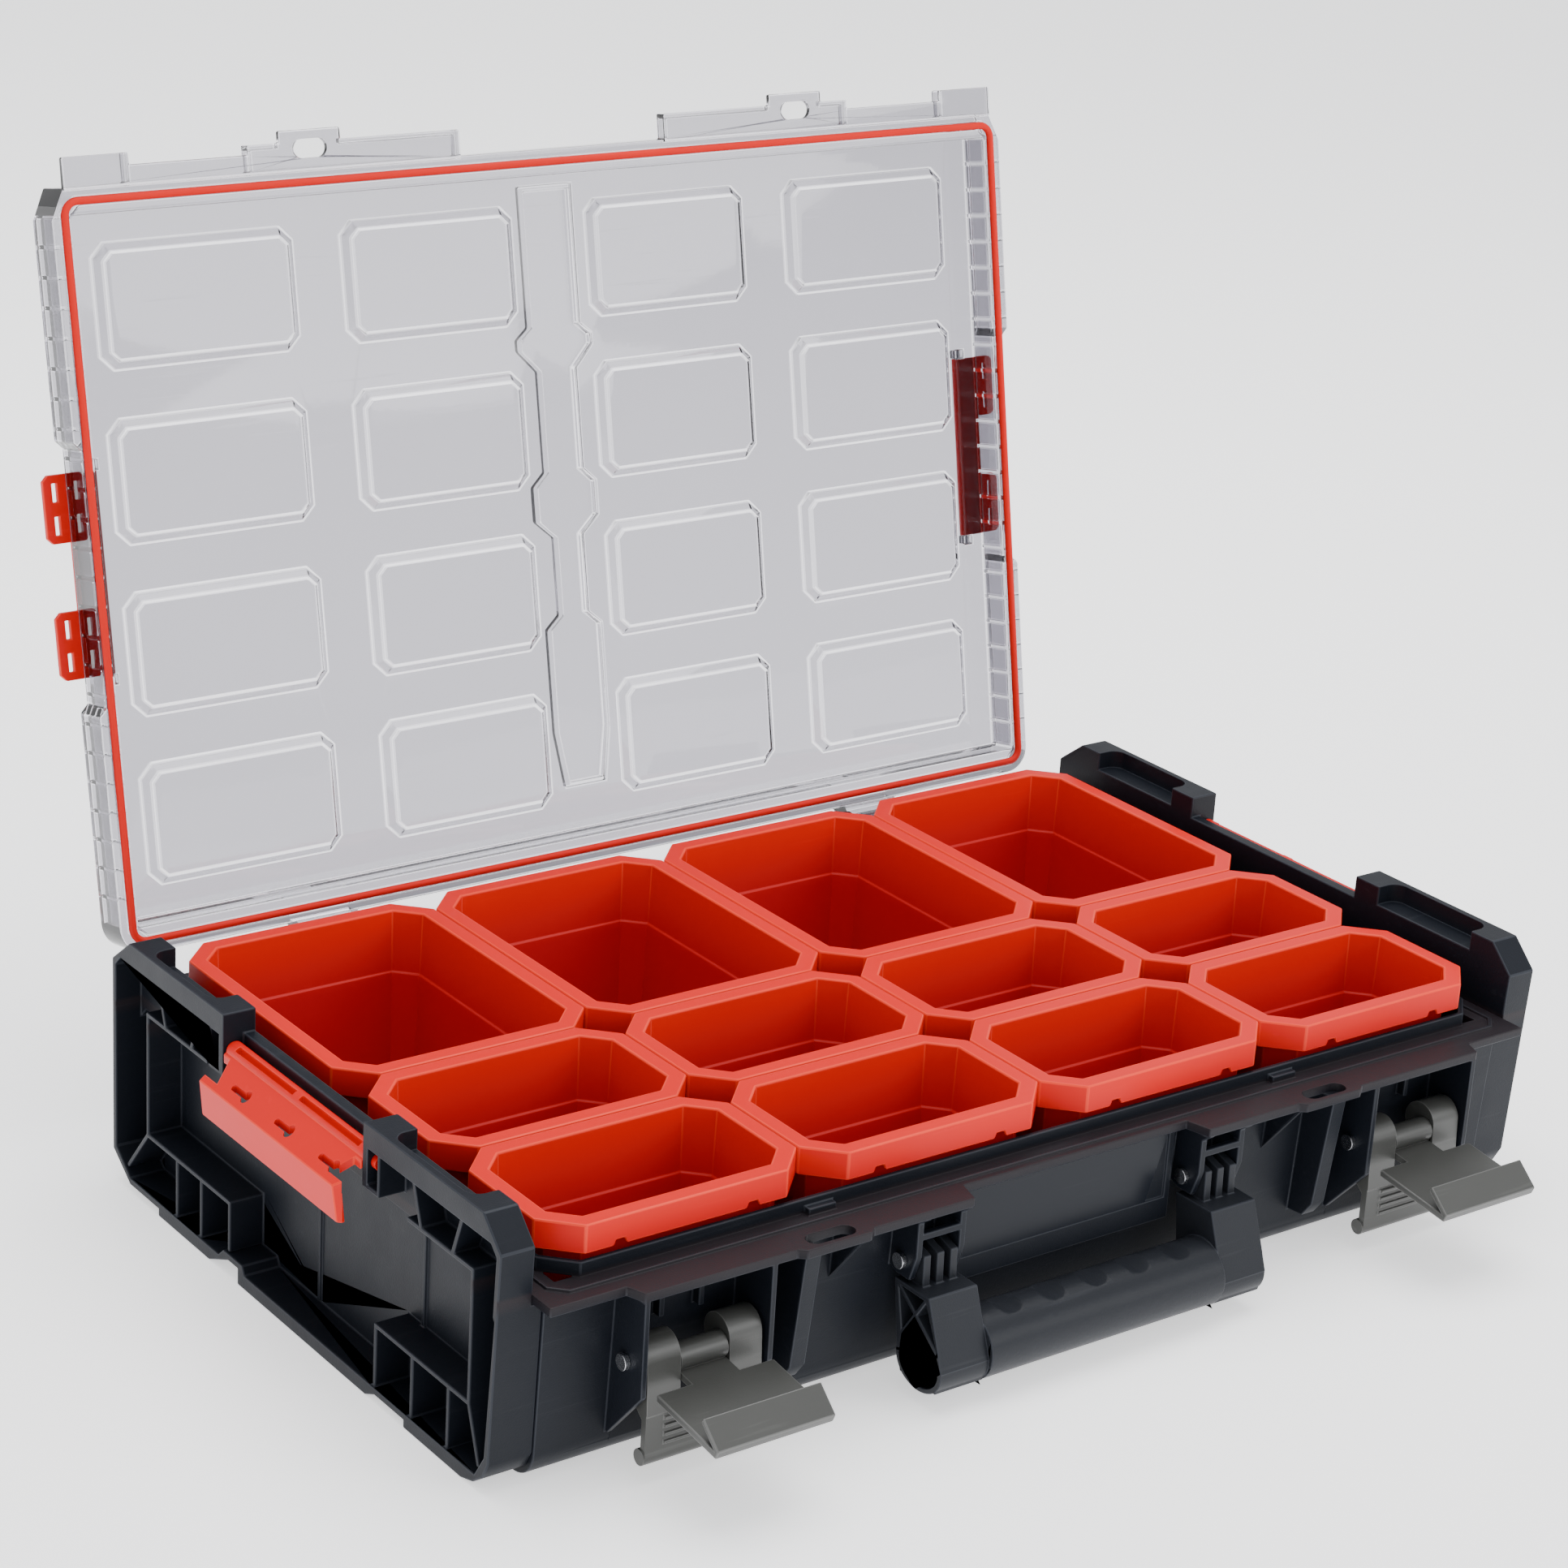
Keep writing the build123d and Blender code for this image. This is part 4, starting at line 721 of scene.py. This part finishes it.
class ORGANIZER_OT_bins(bpy.types.Operator):
    """Model a small and a large bin and set the twelve bins into the case"""

    bl_idname = "organizer.bins"
    bl_label = "Bins"

    def execute(self, context):
        sizes = context.scene.organizer_bins
        material = bin_red(context.scene.organizer_finish)
        wide = sizes.column_pitch - sizes.gap
        small = model_bin("bin_small_pattern", wide, sizes.row_pitch - sizes.gap, sizes)
        large = model_bin("bin_large_pattern", wide, 2 * sizes.row_pitch - sizes.gap, sizes)
        middles = {"large": sizes.row_pitch, "mid": -sizes.row_pitch / 2, "front": -1.5 * sizes.row_pitch}
        for kind in BIN_KINDS:
            pattern = large if kind == "large" else small
            for column in range(BIN_COLUMNS):
                node = f"bin_{kind}_{column + 1}"
                piece = bpy.data.objects.new(f"{node}_shell", pattern.data.copy())
                context.scene.collection.objects.link(piece)
                across = (column - (BIN_COLUMNS - 1) / 2) * sizes.column_pitch
                piece.location = (across, middles[kind], 0.0)
                settle(piece)
                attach(piece, node)
                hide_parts(node)
                dress(piece, material)
        for pattern in (small, large):
            bpy.data.objects.remove(pattern)
        return {"FINISHED"}


def raise_lid(piece, sizes):
    """Turn a piece of the shut lid to where the lid stands open, and settle it."""
    hinge = Vector((0.0, sizes.hinge_y, sizes.hinge_z))
    turn = Matrix.Rotation(-sizes.open_angle, 4, "X")
    about_hinge = Matrix.Translation(hinge) @ turn @ Matrix.Translation(-hinge)
    piece.matrix_world = about_hinge @ piece.matrix_world
    settle(piece)


class ORGANIZER_OT_lid(bpy.types.Operator):
    """Dress the clear lid"""

    bl_idname = "organizer.lid"
    bl_label = "Lid"

    def execute(self, context):
        sizes = context.scene.organizer_lid
        piece = moulded_copy("lid", sizes.edge_round, merge=False)
        dress(piece, lid_clear(context.scene.organizer_finish))
        return {"FINISHED"}


class ORGANIZER_OT_seal(bpy.types.Operator):
    """Lay the seal cord into the lid's rim"""

    bl_idname = "organizer.seal"
    bl_label = "Seal"

    def execute(self, context):
        sizes = context.scene.organizer_lid
        start_clean()
        bpy.ops.mesh.primitive_plane_add(size=1.0, location=(0.0, 0.0, sizes.seal_z))
        piece = take_primitive("seal_cord")
        bpy.ops.transform.resize(value=(2 * sizes.seal_x, 2 * sizes.seal_y, 1.0))
        bpy.ops.mesh.bevel(offset=sizes.seal_corner, affect="VERTICES", segments=SEAL_CORNER_SEGMENTS)
        bpy.ops.mesh.select_all(action="SELECT")
        bpy.ops.mesh.delete(type="ONLY_FACE")
        settle(piece)
        bpy.ops.object.convert(target="CURVE")
        piece = context.object
        piece.data.bevel_depth = sizes.seal_radius
        piece.data.bevel_resolution = SEAL_ROUND_RESOLUTION
        bpy.ops.object.convert(target="MESH")
        piece = context.object
        bpy.ops.object.shade_smooth()
        raise_lid(piece, sizes)
        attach(piece, "lid")
        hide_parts("gasket")
        dress(piece, seal_red(context.scene.organizer_finish))
        return {"FINISHED"}


class ORGANIZER_OT_clips(bpy.types.Operator):
    """Dress the two red clips of the lid"""

    bl_idname = "organizer.clips"
    bl_label = "Lid clips"

    def execute(self, context):
        sizes = context.scene.organizer_case
        material = clip_red(context.scene.organizer_finish)
        dress_copies([f"lid_clip_{side}" for side in SIDES], sizes.clip_round, material)
        return {"FINISHED"}


class ORGANIZER_OT_latches(bpy.types.Operator):
    """Dress the levers and hook plates of the toggle latches"""

    bl_idname = "organizer.latches"
    bl_label = "Toggle latches"

    def execute(self, context):
        sizes = context.scene.organizer_case
        material = latch_grey(context.scene.organizer_finish)
        nodes = [f"{kind}_{side}" for side in SIDES for kind in ("latch_lever", "hook_plate")]
        dress_copies(nodes, sizes.small_round, material)
        return {"FINISHED"}


class ORGANIZER_OT_handle(bpy.types.Operator):
    """Dress the carrying handle"""

    bl_idname = "organizer.handle"
    bl_label = "Handle"

    def execute(self, context):
        sizes = context.scene.organizer_case
        material = handle_grey(context.scene.organizer_finish)
        dress_copies(["handle"], sizes.small_round, material, segments=3)
        return {"FINISHED"}


class ORGANIZER_OT_side_latches(bpy.types.Operator):
    """Dress the red side latches"""

    bl_idname = "organizer.side_latches"
    bl_label = "Side latches"

    def execute(self, context):
        sizes = context.scene.organizer_case
        material = clip_red(context.scene.organizer_finish)
        dress_copies([f"side_latch_{side}" for side in SIDES], sizes.small_round, material)
        return {"FINISHED"}


class ORGANIZER_OT_pins(bpy.types.Operator):
    """Dress the steel pins and dome their heads"""

    bl_idname = "organizer.pins"
    bl_label = "Pins"

    def execute(self, context):
        sizes = context.scene.organizer_case
        material = pin_steel(context.scene.organizer_finish)
        dress_copies(HEADED_PINS, sizes.pin_round, material, segments=3)
        dress_copies(THIN_PINS, sizes.thin_pin_round, material, segments=3)
        return {"FINISHED"}


class ORGANIZER_OT_label(bpy.types.Operator):
    """Dress the bare plate on the front"""

    bl_idname = "organizer.label"
    bl_label = "Label plate"

    def execute(self, context):
        sizes = context.scene.organizer_case
        material = label_black(context.scene.organizer_finish)
        dress_copies(["label_plate"], sizes.label_round, material)
        return {"FINISHED"}


def softbox(name, place, size, power):
    """A round area light that faces the lit point."""
    light = bpy.data.lights.new(name, "AREA")
    light.shape = "DISK"
    light.size = size
    light.energy = power
    lamp = bpy.data.objects.new(name, light)
    bpy.context.scene.collection.objects.link(lamp)
    lamp.location = place
    lamp.rotation_euler = (Vector(LIT_POINT) - Vector(place)).to_track_quat("-Z", "Y").to_euler()


class ORGANIZER_OT_stage(bpy.types.Operator):
    """Set the pale floor, the soft lights and the camera"""

    bl_idname = "organizer.stage"
    bl_label = "Studio"

    def execute(self, context):
        studio = context.scene.organizer_studio
        start_clean()
        bpy.ops.mesh.primitive_circle_add(
            vertices=studio.floor_sides, radius=FLOOR_RADIUS, fill_type="NGON",
        )
        floor = context.object
        floor.name = "studio_floor"
        material, tree, shader = new_material("Studio floor")
        place = tree.nodes.new("ShaderNodeTexCoord").outputs["Object"]
        cloud = scaled_noise(tree, place, FLOOR_CLOUD_SCALE, detail=2.0)
        shaded = tuple(part * FLOOR_SHADE for part in studio.floor)
        clouded = mixed(tree, cloud, solid(studio.floor), solid(shaded))
        tree.links.new(clouded, shader.inputs["Base Color"])
        shader.inputs["Roughness"].default_value = 0.85
        shader.inputs["Emission Color"].default_value = solid(studio.floor)
        shader.inputs["Emission Strength"].default_value = studio.glow
        floor.data.materials.append(material)
        world = bpy.data.worlds.new("Studio")
        world.use_nodes = True
        context.scene.world = world
        background = world.node_tree.nodes["Background"]
        background.inputs["Color"].default_value = SKY
        background.inputs["Strength"].default_value = studio.ambient
        softbox("overhead", OVERHEAD_PLACE, OVERHEAD_SIZE, studio.overhead)
        softbox("front", FRONT_PLACE, FRONT_SIZE, studio.front)
        camera_data = bpy.data.cameras.new("photo_camera")
        camera_data.sensor_width = 36.0
        camera_data.lens = studio.lens
        camera_data.clip_start, camera_data.clip_end = 0.05, 60.0
        camera = bpy.data.objects.new("photo_camera", camera_data)
        context.scene.collection.objects.link(camera)
        turn = Matrix((CAMERA_RIGHT, CAMERA_UP, CAMERA_BACK)).transposed().to_4x4()
        camera.matrix_world = Matrix.Translation(CAMERA_PLACE) @ turn
        context.scene.camera = camera
        return {"FINISHED"}


STEPS = (
    ORGANIZER_OT_case, ORGANIZER_OT_bins, ORGANIZER_OT_lid, ORGANIZER_OT_seal, ORGANIZER_OT_clips,
    ORGANIZER_OT_latches, ORGANIZER_OT_handle, ORGANIZER_OT_side_latches, ORGANIZER_OT_pins,
    ORGANIZER_OT_label, ORGANIZER_OT_stage,
)
GROUPS = {
    "organizer_case": CaseSizes,
    "organizer_bins": BinSizes,
    "organizer_lid": LidSizes,
    "organizer_finish": Finishes,
    "organizer_studio": StudioSettings,
}


class ORGANIZER_PT_panel(bpy.types.Panel):
    """Buttons for the organizer's pieces and the studio"""

    bl_idname = "ORGANIZER_PT_panel"
    bl_label = "Parts Organizer"
    bl_space_type = "VIEW_3D"
    bl_region_type = "UI"
    bl_category = "Organizer"

    def draw(self, context):
        column = self.layout.column()
        for step in STEPS:
            column.operator(step.bl_idname)
        for key, group in GROUPS.items():
            box = column.box()
            box.label(text=group.__name__)
            for name in group.__annotations__:
                box.prop(getattr(context.scene, key), name)


def register():
    """Register the sizes, the operators and the panel."""
    for key, group in GROUPS.items():
        bpy.utils.register_class(group)
        setattr(bpy.types.Scene, key, PointerProperty(type=group))
    for step in STEPS:
        bpy.utils.register_class(step)
    bpy.utils.register_class(ORGANIZER_PT_panel)


def unregister():
    """Take everything that register() added away again."""
    bpy.utils.unregister_class(ORGANIZER_PT_panel)
    for step in reversed(STEPS):
        bpy.utils.unregister_class(step)
    for key, group in GROUPS.items():
        delattr(bpy.types.Scene, key)
        bpy.utils.unregister_class(group)


def main():
    """Make every piece and the studio."""
    register()
    for step in STEPS:
        family, action = step.bl_idname.split(".")
        getattr(getattr(bpy.ops, family), action)()
    start_clean()


if __name__ == "__main__":
    main()
